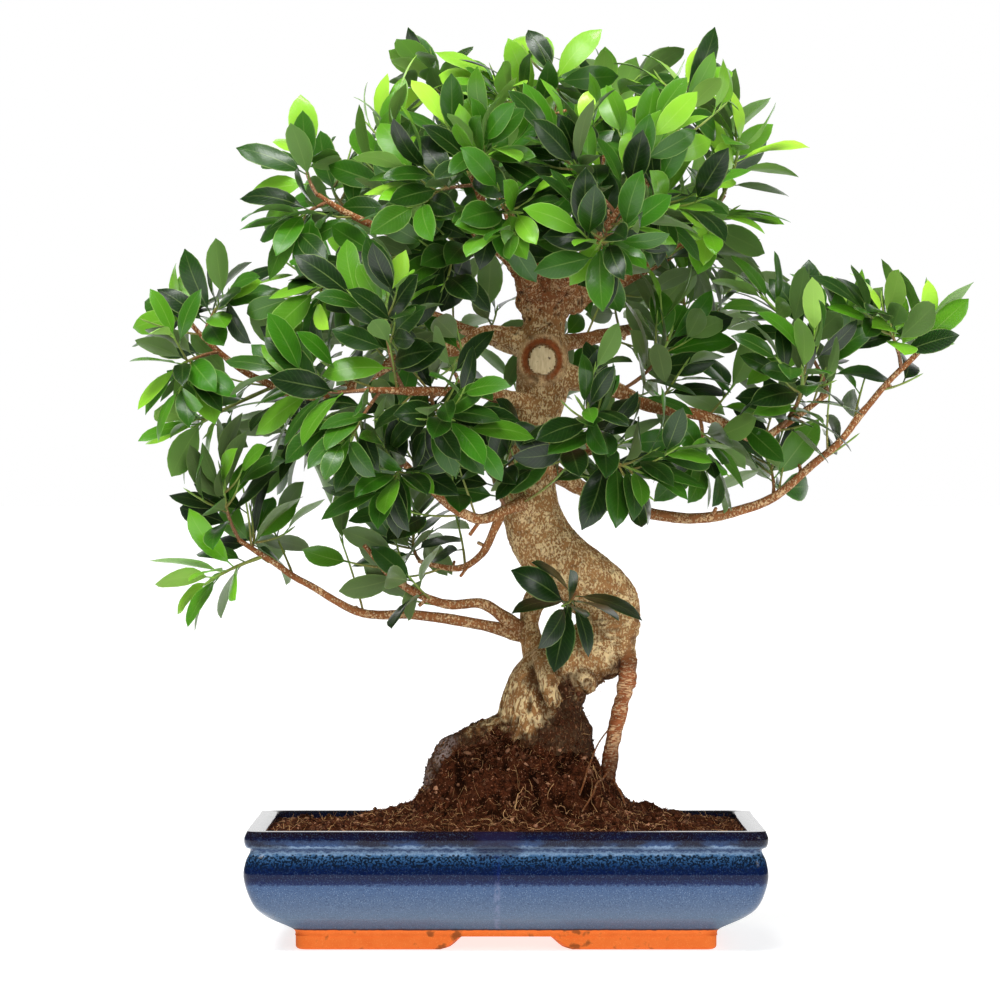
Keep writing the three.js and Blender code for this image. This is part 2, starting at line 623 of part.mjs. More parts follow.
const bounds = new THREE.Box3().setFromObject(bonsai, true);
bonsai.position.set(-(bounds.min.x + bounds.max.x) / 2, -(bounds.min.y + bounds.max.y) / 2, 0);

export default bonsai;
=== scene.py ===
import math

import bmesh
import bpy
import numpy as np
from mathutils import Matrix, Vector, kdtree
from mathutils.bvhtree import BVHTree


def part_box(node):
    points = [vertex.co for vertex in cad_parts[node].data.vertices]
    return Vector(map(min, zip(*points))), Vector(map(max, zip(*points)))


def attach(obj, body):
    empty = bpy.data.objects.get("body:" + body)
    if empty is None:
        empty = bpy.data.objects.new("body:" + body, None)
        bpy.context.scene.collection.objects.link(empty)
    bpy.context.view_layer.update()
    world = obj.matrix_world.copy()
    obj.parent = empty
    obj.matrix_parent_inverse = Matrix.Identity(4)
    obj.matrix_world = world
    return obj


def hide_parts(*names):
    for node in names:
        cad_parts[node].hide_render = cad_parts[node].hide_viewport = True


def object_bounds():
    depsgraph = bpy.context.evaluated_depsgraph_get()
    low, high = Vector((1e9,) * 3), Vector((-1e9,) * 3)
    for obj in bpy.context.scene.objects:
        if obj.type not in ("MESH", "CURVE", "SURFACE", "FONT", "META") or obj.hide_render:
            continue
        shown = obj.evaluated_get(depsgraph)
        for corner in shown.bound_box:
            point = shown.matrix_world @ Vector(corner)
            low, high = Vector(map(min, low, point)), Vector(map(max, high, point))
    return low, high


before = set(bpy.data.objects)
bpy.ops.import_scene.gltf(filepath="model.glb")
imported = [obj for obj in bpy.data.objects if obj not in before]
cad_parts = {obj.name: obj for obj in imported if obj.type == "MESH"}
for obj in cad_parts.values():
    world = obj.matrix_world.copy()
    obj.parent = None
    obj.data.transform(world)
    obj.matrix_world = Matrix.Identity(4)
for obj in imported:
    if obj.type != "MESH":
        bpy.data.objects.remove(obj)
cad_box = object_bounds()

# The bonsai is laid out in millimetres about the middle of its pot, and every mesh is then moved to
# the frame in metres. The front is towards -Y.
MM = 0.001
pot_low, pot_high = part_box("pot")
POT_MIDDLE = np.array([(pot_low.x + pot_high.x) / 2, (pot_low.y + pot_high.y) / 2, 0.0])
UP = np.array([0.0, 0.0, 1.0])
FRONT = np.array([0.0, -1.0, 0.0])

# Camera: level, 4.8 m in front of the pot's rim
CAMERA = (-5.46, -4970.0, 399.0)
LENS = 196.5

# Pot, as in the solids: half length and height along its profiles, and how much less its half depth is
POT_LONGER = 60.0
RIM_Z = 107.0
UNDERSIDE_Z = 12.0
FLOOR_Z = 21.0
GLAZE_Z = 17.0
POT_OUTER = [
    (188, UNDERSIDE_Z), (190, 18), (212, 30), (224, 42), (231.5, 64), (230, 80), (226, 89.5),
    (230, 93), (231.5, 100), (229, RIM_Z)]
POT_INNER = [(215, RIM_Z), (213, 104), (213, 92), (221, 66), (206, 37), (181, FLOOR_Z)]
POT_CORNER = 16.0
POT_CORNER_INNER = 9.0
SEAM_X = -8.0
SEAM_TOP = 88.0
DRAIN_X = 115.0
DRAIN_R = 11.0
SCREEN_TOP = FLOOR_Z + 2.3
# Feet: half length and width of their ring, and half widths of the gaps at their top and on the floor
FOOT_OUT = 187.0
FOOT_WIDE = 22.0
FOOT_BEVEL = 3.0
FOOT_GAP_LONG = (42.0, 60.0)
FOOT_GAP_SHORT = (28.0, 42.0)
NOTCH_X = 56.0

# Soil, as in the solids: half length and half depth, then height, middle and half size of its two heaps
SOIL_EDGE_Z = 100.0
SOIL_HALF = (POT_INNER[1][0], POT_INNER[1][0] - POT_LONGER)
HEAP, HEAP_AT, HEAP_HALF = 44.0, (18.0, 0.0), (122.0, 88.0)
BALL, BALL_AT, BALL_HALF = 46.0, (10.0, 0.0), (80.0, 66.0)
# Middle and half size of its roughest part
STEEP_AT, STEEP_HALF = (5.0, 0.0), (95.0, 80.0)

# Centre lines of the wood: x, y, z and radius
TRUNK = [
    (38, 0, 72, 36), (38, 0, 112, 40), (37, 0, 149, 43), (35, 0, 180, 45), (32, 0, 203, 39),
    (34, 0, 223, 35), (46, 2, 244, 30), (70, 5, 258, 26), (91, 8, 276, 28), (93, 8, 301, 28),
    (77, 4, 322, 28), (56, 0, 339, 28), (36, -2, 358, 28), (25, -2, 381, 26), (22, -1, 403, 24),
    (24, 0, 435, 22), (26, 1, 467, 21), (32, 1, 499, 24), (34, 0, 525, 24), (34, 0, 547, 20),
    (35, 0, 563, 18), (36, 0, 579, 20), (37, 0, 594, 15)]
STRAND = [
    (42, 10, 321, 12), (27, 14, 308, 10), (21, 16, 291, 9), (22, 14, 275, 10), (28, 8, 258, 13),
    (36, 2, 242, 15)]
AERIAL_ROOT = [
    (109, 6, 264, 8), (111, 2, 246, 8), (109, -2, 232, 7.5), (105, -4, 214, 6), (100, -5, 194, 5.5),
    (96, -6, 176, 5.5), (94, -7, 158, 6.5), (92, -8, 140, 8), (90, -8, 112, 11)]
FRONT_ROOT = [(32, -18, 263, 8), (34, -33, 247, 9.5), (40, -42, 231, 10), (47, -42, 213, 9)]
LEFT_ROOT = [
    (-1, -5, 182, 22), (-33, -15, 172, 19), (-52, -20, 159, 17), (-59, -20, 136, 15), (-62, -18, 112, 13)]
LIMBS = {
    "crown_left": [
        (31, -5, 581, 8), (5, -25, 615, 6), (-24, -40, 634, 5), (-59, -55, 639, 4.2), (-88, -65, 634, 3.8),
        (-136, -75, 653, 3), (-169, -80, 672, 2)],
    "crown_rear_left": [
        (29, 5, 583, 7.5), (11, 35, 633, 5.5), (-5, 60, 685, 4.5), (-31, 75, 732, 3.2), (-54, 80, 769, 2)],
    "crown_top": [
        (35, -5, 588, 7), (26, -20, 639, 5), (35, -40, 688, 4), (41, -50, 737, 3), (45, -55, 768, 2)],
    "crown_right_front": [
        (40, -5, 583, 8), (70, -30, 614, 5.5), (95, -55, 644, 4.5), (125, -75, 682, 3.5),
        (154, -80, 731, 2.2)],
    "crown_right": [
        (45, 5, 581, 8), (84, 25, 589, 6), (123, 40, 608, 5), (169, 50, 638, 3.6), (201, 50, 680, 2)],
    "crown_back": [(37, 8, 585, 7), (55, 70, 634, 5), (78, 120, 683, 4), (98, 150, 737, 2.6)],
    "crown_front": [(32, -8, 581, 7), (12, -70, 613, 5), (-13, -120, 646, 4), (-32, -150, 686, 2.6)],
    "crown_front_right": [
        (38, -8, 581, 6.5), (62, -75, 610, 4.6), (83, -130, 634, 3.6), (102, -165, 659, 2.4)],
    "left": [
        (17, 0, 543, 9), (-19, 0, 550, 7.5), (-43, 5, 537, 7), (-83, 10, 534, 6), (-124, 15, 513, 5),
        (-165, 15, 495, 4), (-204, 10, 499, 3.4), (-255, 0, 528, 2.8), (-289, -5, 563, 2)],
    "right": [
        (49, 0, 514, 10), (101, -8, 499, 7), (130, -12, 485, 6.2), (183, -15, 474, 5), (227, -10, 455, 4),
        (254, -5, 468, 3.2), (294, 0, 496, 2.4)],
    "low_right": [
        (36, 8, 428, 7), (77, 35, 406, 6), (111, 38, 393, 5.5), (141, 34, 384, 5.2), (178, 27, 383, 4.8),
        (214, 20, 389, 4.5), (249, 13, 404, 4), (280, 6, 432, 3.6), (305, 0, 453, 3.3), (328, -4, 483, 3),
        (356, -5, 514, 2.6), (378, -5, 535, 2.3)],
    "front_left": [
        (27, -12, 401, 6.5), (4, -42, 392, 5.2), (-20, -62, 382, 4.8), (-36, -75, 386, 4.4),
        (-62, -95, 404, 3.8), (-93, -115, 435, 3), (-108, -125, 456, 2.2)],
    "left_under": [
        (-5, -50, 387, 4), (-11, -42, 372, 3.6), (-23, -24, 348, 3.2), (-46, -4, 336, 2.8),
        (-79, 16, 344, 2)],
    "low_left_upper": [
        (13, 6, 282, 6), (-5, 0, 295, 5), (-23, -5, 305, 4.6), (-49, -9, 304, 4.2), (-75, -13, 311, 3.8),
        (-105, -18, 331, 3), (-128, -20, 358, 2)],
    "low_left": [
        (13, 8, 277, 6.5), (-15, 5, 284, 5.2), (-36, 7, 288, 4.9), (-76, 10, 294, 4.5),
        (-116, 11, 294, 4), (-141, 10, 300, 3.6), (-183, 6, 324, 3), (-220, 2, 348, 2.6),
        (-243, 0, 363, 2.2)],
    "back_left": [
        (20, 12, 536, 7.5), (-24, 70, 551, 5.5), (-71, 120, 572, 4.5), (-123, 160, 587, 3),
        (-166, 180, 597, 2)],
    "back_right": [(45, 12, 540, 7.5), (101, 80, 554, 5.5), (153, 130, 565, 4.2), (206, 160, 573, 2.6)],
    "front_left_high": [
        (17, -12, 488, 6.5), (-28, -80, 496, 5), (-72, -135, 495, 4), (-120, -170, 496, 2.6)],
    "back_low": [(26, 14, 454, 6), (36, 90, 469, 4.6), (13, 150, 483, 3.2)],
    "front_mid": [(31, -14, 437, 5), (53, -70, 439, 3.8), (84, -105, 444, 2.6)],
}
# About how long the straight pieces of a limb in the solids are
LIMB_STEP = 56.0

# Where each spray's leading shoot ends, as in the solids
SPRAY_TIPS = [
    (-68, 35, 778), (-100, -25, 738), (-10, -70, 760), (38, 25, 787), (90, 70, 774), (160, -40, 773),
    (190, 45, 742), (212, 0, 722), (186, 15, 656), (180, 75, 625), (140, -120, 655), (120, -140, 710),
    (45, -160, 705), (-15, -175, 705), (-70, -150, 670), (10, -205, 650), (80, -205, 620),
    (110, 165, 750), (0, 185, 715), (150, 150, 655), (-115, 110, 690), (-60, -135, 610),
    (-180, -40, 712), (-160, 40, 690), (-188, -80, 650), (-252, -30, 584), (-290, 0, 568),
    (-295, -40, 520), (-285, 15, 465), (-255, -25, 410), (-170, -110, 585), (-105, -175, 575),
    (-185, -110, 500), (-135, -165, 455), (-190, 90, 450), (-228, 10, 362), (-268, -15, 326),
    (-85, 45, 365), (-95, -160, 420), (-100, 180, 550), (-50, -200, 470), (235, -30, 580),
    (305, 15, 575), (340, -25, 566), (378, 0, 552), (265, -85, 515), (150, 10, 550),
    (175, -30, 435), (240, 35, 435), (165, 170, 590), (65, -150, 485), (115, -135, 425),
    (-15, -60, 440), (52, -62, 304)]
# Sprays in young leaf, those of them that are only half so light, and the one from a bud in the trunk
YOUNG = (7, 8, 11, 13, 28, 36, 44)
HALF_GROWN = (11, 13, 28)
TRUNK_SHOOT = 53
TRUNK_BUD = (np.array([68.0, -4.0, 322.0]), np.array([-0.2, -0.9, -0.3]))
# Marks along each straight piece of a limb, the first that a spray may start from, the share of a
# spray's reach by which it starts further back, and how far apart two sprays start where they can
MARKS = 8
FIRST_MARK = 4
SET_BACK = 0.35
BUD_SPACING = 13.0
# Leaves of a leading shoot: the turn from one to the next, the length that bears them, how many may
# stand there and the share of the shoot where the last does
RANK = 2 * math.pi / 3
LEAFY_LENGTH = 105.0
LEAVES_TRIED = 11
LAST_LEAF = 0.96
TWIG_R = 1.7
# The shortest and the longest blade, its width for its length, and its stalk
BLADE = (46.0, 64.0)
BLADE_WIDE = 0.44
PETIOLE = 9.0
# The x of the crown's middle, from which shoots and leaves point outwards
CROWN_X = 25.0

# Where the numbered draws of each kind begin. The leaves of a leading shoot share theirs with the solids.
DRAWS = {
    "first_turn": 5, "opening": 10, "facing": 60, "jitter_x": 110, "jitter_y": 160, "jitter_z": 210,
    "length": 260, "width": 310, "arch": 360, "turn": 410, "age": 510, "shoot_length": 520,
    "end_age": 530, "end_fresh": 535, "fold": 560, "twist": 610, "wave": 660, "phase": 710,
    "hook": 760, "youth": 810, "sunlit": 860, "tone": 910, "bud": 960, "keep_in": 980, "thin": 985,
    "limb_shoot": 5, "stub_reach": 10, "stub_turn": 20, "stub_place": 30}


# Helpers

def draw(seed, kind, n=0):
    """A number from 0 to 1 that depends only on the seed, on the kind of draw and on its number."""
    s = math.sin(seed * 127.1 + (DRAWS[kind] + n) * 311.7) * 43758.5453
    return s - math.floor(s)


def unit(v):
    return v / np.linalg.norm(v)


def between(ends, share):
    return ends[0] + (ends[1] - ends[0]) * share


def smoothstep(low, high, x):
    t = np.clip((x - low) / (high - low), 0, 1)
    return t * t * (3 - 2 * t)


def bell(x, middle, half, power=2):
    """1 in the middle and falling to 0 on both sides, with a flatter top for a higher power."""
    return np.exp(-(((x - middle) / half) ** power))


def mound(x, y, at, half, power=2):
    """1 at a place in a plane and falling to 0 around it."""
    return np.exp(-(((x - at[0]) / half[0]) ** power) - ((y - at[1]) / half[1]) ** power)


def lattice(i, j, k, seed):
    """A hash of whole numbers to the range -1 to 1."""
    h = (i * 374761393 + j * 668265263 + k * 1274126177 + seed * 974634777) & 0xFFFFFFFF
    h = ((h ^ (h >> 13)) * 1103515245) & 0xFFFFFFFF
    h = (h ^ (h >> 16)) & 0xFFFF
    return h / 32767.5 - 1


def noise(points, size, seed=0):
    """Smooth noise from -1 to 1 at points, with features of that size."""
    p = np.asarray(points, float) / size
    cell = np.floor(p).astype(np.int64)
    f = p - cell
    f = f * f * (3 - 2 * f)
    total = np.zeros(len(p))
    for corner in np.ndindex(2, 2, 2):
        weight = np.ones(len(p))
        for axis, far in enumerate(corner):
            weight = weight * (f[:, axis] if far else 1 - f[:, axis])
        total += weight * lattice(*(cell + corner).T, seed)
    return total


def row_at(rows, t):
    """Catmull-Rom through rows of numbers, at a share t of the way along them."""
    f = min(t, 1.0) * (len(rows) - 1)
    k = min(int(f), len(rows) - 2)
    s = f - k
    a, b, c, d = (np.array(rows[max(0, min(len(rows) - 1, i))], float) for i in (k - 1, k, k + 1, k + 2))
    return 0.5 * (2 * b + (c - a) * s + (2 * a - 5 * b + 4 * c - d) * s ** 2
                  + (3 * b - a - 3 * c + d) * s ** 3)


def walk(rows, steps):
    return np.array([row_at(rows, i / steps) for i in range(steps + 1)])


def length_of(rows):
    points = np.array(rows, float)[:, :3]
    return float(np.linalg.norm(np.diff(points, axis=0), axis=1).sum())


def across(direction):
    other = UP if abs(direction[2]) < 0.9 else np.array([1.0, 0.0, 0.0])
    return unit(np.cross(other, direction))


def around(direction, turn):
    """The way across a direction, turned round it."""
    side = across(direction)
    return side * math.cos(turn) + np.cross(direction, side) * math.sin(turn)


class Parts:
    """Gathers points, faces and the numbers that shaders read at each point, for one mesh."""

    def __init__(self):
        self.points, self.quads, self.triangles = [], [], []
        self.quad_material, self.triangle_material = [], []
        self.values = []
        self.count = 0

    def add(self, points, quads=(), triangles=(), material=0, **values):
        points = np.asarray(points, float).reshape(-1, 3)
        quads = np.asarray(quads, int).reshape(-1, 4)
        triangles = np.asarray(triangles, int).reshape(-1, 3)
        self.points.append(points)
        self.quads.append(quads + self.count)
        self.triangles.append(triangles + self.count)
        self.quad_material.append(np.full(len(quads), material))
        self.triangle_material.append(np.full(len(triangles), material))
        self.values.append((len(points), values))
        self.count += len(points)

    def tube(self, path, radius, sides, squeeze=None, **values):
        """Adds a closed tube with a radius at each point of a path."""
        samples = np.column_stack([path, radius])
        self.add(*loft(tube_rings(samples, sides, squeeze)), **values)

    def make(self, name, materials, sharp=None):
        points = np.concatenate(self.points) * MM + POT_MIDDLE
        quads, triangles = np.concatenate(self.quads), np.concatenate(self.triangles)
        corners = np.concatenate([quads.ravel(), triangles.ravel()])
        starts = np.concatenate([np.arange(len(quads)) * 4, quads.size + np.arange(len(triangles)) * 3])
        which = np.concatenate(self.quad_material + self.triangle_material)
        mesh = bpy.data.meshes.new(name)
        mesh.vertices.add(len(points))
        mesh.vertices.foreach_set("co", points.astype(np.float32).ravel())
        mesh.loops.add(len(corners))
        mesh.loops.foreach_set("vertex_index", corners.astype(np.int32))
        mesh.polygons.add(len(starts))
        mesh.polygons.foreach_set("loop_start", starts.astype(np.int32))
        mesh.polygons.foreach_set("material_index", which.astype(np.int32))
        mesh.update(calc_edges=True)
        for key in sorted({key for _, values in self.values for key in values}):
            column = [np.broadcast_to(values.get(key, 0.0), count) for count, values in self.values]
            store(mesh, key, np.concatenate(column))
        finish_mesh(mesh, materials, sharp)
        return link(name, mesh)


def store(mesh, key, values):
    """Gives a mesh numbers at its points, which shaders read by their key."""
    attribute = mesh.attributes.new(key, "FLOAT", "POINT")
    attribute.data.foreach_set("value", values.astype(np.float32))


def finish_mesh(mesh, materials, sharp=None):
    """Turns every closed skin's faces outwards, and smooths them all but where they meet sharply."""
    work = bmesh.new()
    work.from_mesh(mesh)
    bmesh.ops.recalc_face_normals(work, faces=work.faces)
    work.to_mesh(mesh)
    work.free()
    mesh.polygons.foreach_set("use_smooth", np.ones(len(mesh.polygons), bool))
    if sharp is not None:
        mesh.set_sharp_from_angle(angle=math.radians(sharp))
    for material in materials:
        mesh.materials.append(material)


def link(name, data):
    """An object of a mesh, lamp or camera in the scene."""
    made = bpy.data.objects.new(name, data)
    bpy.context.scene.collection.objects.link(made)
    return made


def place(piece, slot, *nodes):
    """Puts a finished piece in the frame, in place of the nodes that it stands for."""
    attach(piece, "root")
    if nodes:
        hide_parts(*nodes)


def grid_quads(rows, columns, closed=True):
    """Quads of a grid of points whose rows close on themselves."""
    r = np.arange(rows - 1)[:, None] * columns
    c = np.arange(columns if closed else columns - 1)[None, :]
    n = (c + 1) % columns
    return np.stack([r + c, r + n, r + columns + n, r + columns + c], axis=-1).reshape(-1, 4)


def fan(start, count, centre):
    i = np.arange(count)
    return np.stack([start + i, start + (i + 1) % count, np.full(count, centre)], axis=-1)


def loft(rings):
    """A closed skin through rings of as many points each, with a fan over each end."""
    rings = np.asarray(rings, float)
    rows, columns = rings.shape[:2]
    ends = np.array([rings[0].mean(axis=0), rings[-1].mean(axis=0)])
    points = np.concatenate([rings.reshape(-1, 3), ends])
    first, last = rows * columns, rows * columns + 1
    triangles = np.concatenate([fan(0, columns, first), fan((rows - 1) * columns, columns, last)])
    return points, grid_quads(rows, columns), triangles


def tube_rings(samples, sides, squeeze=None):
    """Rings round samples of x, y, z and radius. squeeze(share along, angles) scales the radius."""
    centres, radii = samples[:, :3], samples[:, 3]
    tangents = np.gradient(centres, axis=0)
    tangents /= np.linalg.norm(tangents, axis=1)[:, None]
    angles = 2 * math.pi * np.arange(sides) / sides
    u = across(tangents[0])
    rings = []
    for i, (centre, r, t) in enumerate(zip(centres, radii, tangents)):
        u = unit(u - t * (u @ t))
        v = np.cross(t, u)
        around = np.full(sides, r)
        if squeeze is not None:
            around = around * squeeze(i / (len(centres) - 1), angles)
        rings.append(centre + np.outer(around * np.cos(angles), u) + np.outer(around * np.sin(angles), v))
    return np.array(rings)


# Materials

def rgb(r, g, b):
    """A colour as a picture shows it, from 0 to 255, as the linear one that shaders take."""
    linear = [((c / 255 + 0.055) / 1.055) ** 2.4 if c > 10 else c / 255 / 12.92 for c in (r, g, b)]
    return (*linear, 1.0)


class Shader:
    """A material's nodes, made by short calls."""

    def __init__(self, name):
        self.material = bpy.data.materials.new(name)
        self.material.use_nodes = True
        self.nodes = self.material.node_tree.nodes
        self.links = self.material.node_tree.links
        self.surface = self.nodes["Principled BSDF"]

    def node(self, kind, inputs=None, **settings):
        made = self.nodes.new("ShaderNode" + kind)
        for key, value in settings.items():
            setattr(made, key, value)
        for key, value in (inputs or {}).items():
            self.put(value, made.inputs[key])
        return made

    def put(self, value, socket):
        if isinstance(value, bpy.types.NodeSocket):
            self.links.new(value, socket)
        elif isinstance(value, bpy.types.Node):
            self.links.new(value.outputs[0], socket)
        else:
            socket.default_value = value

    def set(self, **inputs):
        for key, value in inputs.items():
            self.put(value, self.surface.inputs[key.replace("_", " ")])

    def math(self, operation, a, b=0.0, c=0.0, clamp=False):
        return self.node("Math", {0: a, 1: b, 2: c}, operation=operation, use_clamp=clamp).outputs[0]

    def times(self, a, b):
        return self.math("MULTIPLY", a, b)

    def mix(self, factor, a, b):
        made = self.node("Mix", data_type="RGBA", blend_type="MIX")
        for value, socket in ((factor, made.inputs[0]), (a, made.inputs[6]), (b, made.inputs[7])):
            self.put(value, socket)
        return made.outputs[2]

    def over(self, base, share, most, colour):
        """A colour laid over a base where the share is high, up to the most that it may cover."""
        return self.mix(self.times(share, most), base, colour)

    def mottled(self, at, size, detail, dark, light):
        """Two colours in blotches of a size."""
        return self.mix(self.noise(at, size, detail), rgb(*dark), rgb(*light))

    def value(self, name):
        return self.node("Attribute", attribute_name=name).outputs["Fac"]

    def ramp(self, factor, stops):
        made = self.node("ValToRGB", {0: factor})
        elements = made.color_ramp.elements
        while len(elements) < len(stops):
            elements.new(1.0)
        for element, (position, colour) in zip(elements, stops):
            element.position = position
            element.color = rgb(*colour)
        return made.outputs[0]

    def step(self, low, high, x):
        return self.node("MapRange", {0: x, 1: low, 2: high}, interpolation_type="SMOOTHSTEP").outputs[0]

    def band(self, low, full, still_full, high, x):
        """1 in the middle of a band, with soft edges."""
        return self.times(self.step(low, full, x), self.step(high, still_full, x))

    def place(self, stretch=(1, 1, 1)):
        """Points of the object in millimetres, stretched to lengthen what is drawn on them."""
        at = self.node("TexCoord").outputs["Object"]
        scale = tuple(1000.0 / s for s in stretch)
        return self.node("VectorMath", {0: at, 1: scale}, operation="MULTIPLY").outputs[0]

    def split(self, at):
        return self.node("SeparateXYZ", {0: at}).outputs

    def noise(self, at, size, detail=2.0, distortion=0.0):
        inputs = {"Vector": at, "Scale": 1.0 / size, "Detail": detail, "Distortion": distortion}
        return self.node("TexNoise", inputs).outputs[0]

    def dots(self, at, size, none, full):
        """Round dots, one in each cell of a size: none at one distance from its middle, full at another."""
        cells = self.node("TexVoronoi", {"Vector": at, "Scale": 1.0 / size}, feature="F1")
        return self.step(none, full, cells.outputs["Distance"])

    def bump(self, height, depth, strength=1.0, normal=None):
        made = self.node("Bump", {"Height": height, "Distance": depth * MM, "Strength": strength})
        if normal is not None:
            self.put(normal, made.inputs["Normal"])
        return made.outputs[0]


# The glaze's bands from foot to lip: a share of the rim's height, and the colour there
GLAZE_BANDS = [
    (0.17, (60, 88, 112)), (0.25, (76, 98, 120)), (0.35, (82, 99, 124)), (0.55, (60, 83, 118)),
    (0.57, (12, 28, 70)), (0.62, (3, 13, 46)), (0.69, (4, 20, 56)), (0.73, (14, 42, 76)),
    # The pale stops at 0.822 and 0.872 are the groove's pooled glaze and a painted highlight
    (0.8, (50, 84, 118)), (0.822, (120, 146, 174)), (0.845, (40, 56, 92)), (0.872, (122, 146, 174)),
    (0.888, (44, 68, 106)), (0.94, (9, 14, 40)), (1.0, (16, 7, 12))]
# Heights where its marks begin, are full, are still full and end
SPOTTED = (66.0, 80.0, 84.0, 86.5)
DOTTED = (82.0, 83.5, 86.5, 87.5)
# Heights from where to where the pale specks fade, the lip is burnt and the glaze turns dull
SPECKS_FADE = (64.0, 56.0)
LIP_BURNT = (90.0, 95.0)
FOOT_DULL = (36.0, 22.0)


def glaze_material():
    """Bands of blue that ran into each other in the kiln, with pale lines at the groove that are partly
    painted highlight, under a dark lip, with spots and a seam.
    """
    s = Shader("glaze")
    at = s.place()
    x, _, height = s.split(at)
    from_seam = s.math("ABSOLUTE", s.math("SUBTRACT", x, POT_MIDDLE[0] / MM + SEAM_X))
    ragged = s.math("SUBTRACT", s.noise(s.place((1.6, 1.6, 1)), 3.0, 4.0), 0.5)
    level = s.math("DIVIDE", s.math("MULTIPLY_ADD", ragged, 7.0, height), RIM_Z)
    body = s.ramp(level, GLAZE_BANDS)
    burnt = s.step(0.42, 0.6, s.noise(s.place((3, 3, 1)), 14.0, 3.0))
    body = s.over(body, s.times(burnt, s.step(*LIP_BURNT, height)), 0.85, rgb(18, 7, 8))
    net = s.noise(at, 1.0, 2.0, 0.4)
    body = s.over(body, s.step(0.54, 0.68, net), 0.19, rgb(84, 112, 150))
    body = s.over(body, s.step(0.46, 0.36, net), 0.4, rgb(8, 18, 56))
    specks = s.times(s.dots(at, 1.5, 0.3, 0.14), s.step(*SPECKS_FADE, height))
    body = s.over(body, specks, 0.32, rgb(160, 182, 206))
    spots = s.times(s.step(0.47, 0.53, s.noise(at, 1.9, 1.0)), s.band(*SPOTTED, height))
    dots = s.times(s.dots(at, 3.2, 0.44, 0.34), s.band(*DOTTED, height))
    body = s.over(body, s.math("MAXIMUM", spots, dots), 0.92, rgb(6, 13, 24))
    seam = s.times(s.step(4.0, 0.6, from_seam), s.step(SEAM_TOP + 2, SEAM_TOP - 2, height))
    drip = s.times(seam, s.step(0.35, 0.6, s.noise(s.place((1, 1, 4)), 3.0, 2.0)))
    streak = s.mix(s.step(56.0, 66.0, height), rgb(118, 124, 152), rgb(14, 30, 88))
    body = s.over(body, drip, 0.5, streak)
    flow = s.math("MULTIPLY_ADD", ragged, 26.0, from_seam)
    plum = s.times(s.step(26.0, 14.0, flow), s.step(80.0, 90.0, height))
    body = s.over(body, plum, 0.6, rgb(26, 20, 44))
    hem = s.math("MULTIPLY_ADD", ragged, 1.5, height)
    body = s.mix(s.step(GLAZE_Z + 2.4, GLAZE_Z + 1.0, hem), body, rgb(46, 34, 36))
    bare = s.step(GLAZE_Z + 0.6, GLAZE_Z, hem)
    s.set(Base_Color=s.mix(bare, body, clay_colour(s, at)), Specular_IOR_Level=0.22)
    dull = s.times(s.step(*FOOT_DULL, height), 0.4)
    s.set(Roughness=s.math("ADD", s.math("MULTIPLY_ADD", bare, 0.35, 0.09), dull))
    s.set(Normal=s.bump(s.noise(at, 4.0, 3.0), 0.2, 0.5))
    return s.material


def clay_colour(s, at):
    """Orange terracotta with pale grains and a few dark stains, most of them beside the notch."""
    from_middle = s.math("ABSOLUTE", s.math("SUBTRACT", s.split(at)[0], POT_MIDDLE[0] / MM))
    beside = s.step(24.0, 4.0, s.math("ABSOLUTE", s.math("SUBTRACT", from_middle, NOTCH_X)))
    base = s.mottled(at, 9.0, 4.0, (222, 100, 34), (240, 126, 56))
    base = s.over(base, s.step(0.55, 0.75, s.noise(at, 0.9, 3.0)), 0.4, rgb(250, 164, 92))
    stain = s.step(0.6, 0.74, s.math("MULTIPLY_ADD", beside, 0.13, s.noise(at, 9.0, 6.0)))
    return s.over(base, stain, 0.7, rgb(92, 52, 24))


def clay_material():
    s = Shader("clay")
    at = s.place()
    s.set(Base_Color=clay_colour(s, at), Roughness=0.85, Specular_IOR_Level=0.2)
    s.set(Normal=s.bump(s.noise(at, 0.9, 3.0), 0.25, 0.7))
    return s.material


def soil_material(name, dark, light, straw):
    """Dark peat with red-brown and pale specks, and painted shade in the pits between lumps. The tone of a
    piece takes it towards straw.
    """
    s = Shader(name)
    at = s.place()
    base = s.mix(s.step(0.34, 0.66, s.noise(at, 4.0, 6.0)), rgb(*dark), rgb(*light))
    base = s.over(base, s.step(0.54, 0.66, s.noise(at, 1.3, 4.0)), 0.6, rgb(104, 58, 34))
    speck = s.times(s.dots(at, 2.6, 0.3, 0.16), s.step(0.46, 0.6, s.noise(at, 6.0, 2.0)))
    base = s.over(base, speck, 0.75, rgb(172, 120, 92))
    base = s.mix(s.step(0.0, 1.0, s.value("tone")), base, rgb(*straw))
    # Painted shade: near black in the pits between the soil's lumps
    base = s.over(base, s.value("pit"), 0.85, rgb(9, 3, 1))
    s.set(Base_Color=base, Roughness=0.95, Specular_IOR_Level=0.05)
    s.set(Normal=s.bump(s.noise(at, 1.1, 5.0), 1.0, 0.9))
    return s.material


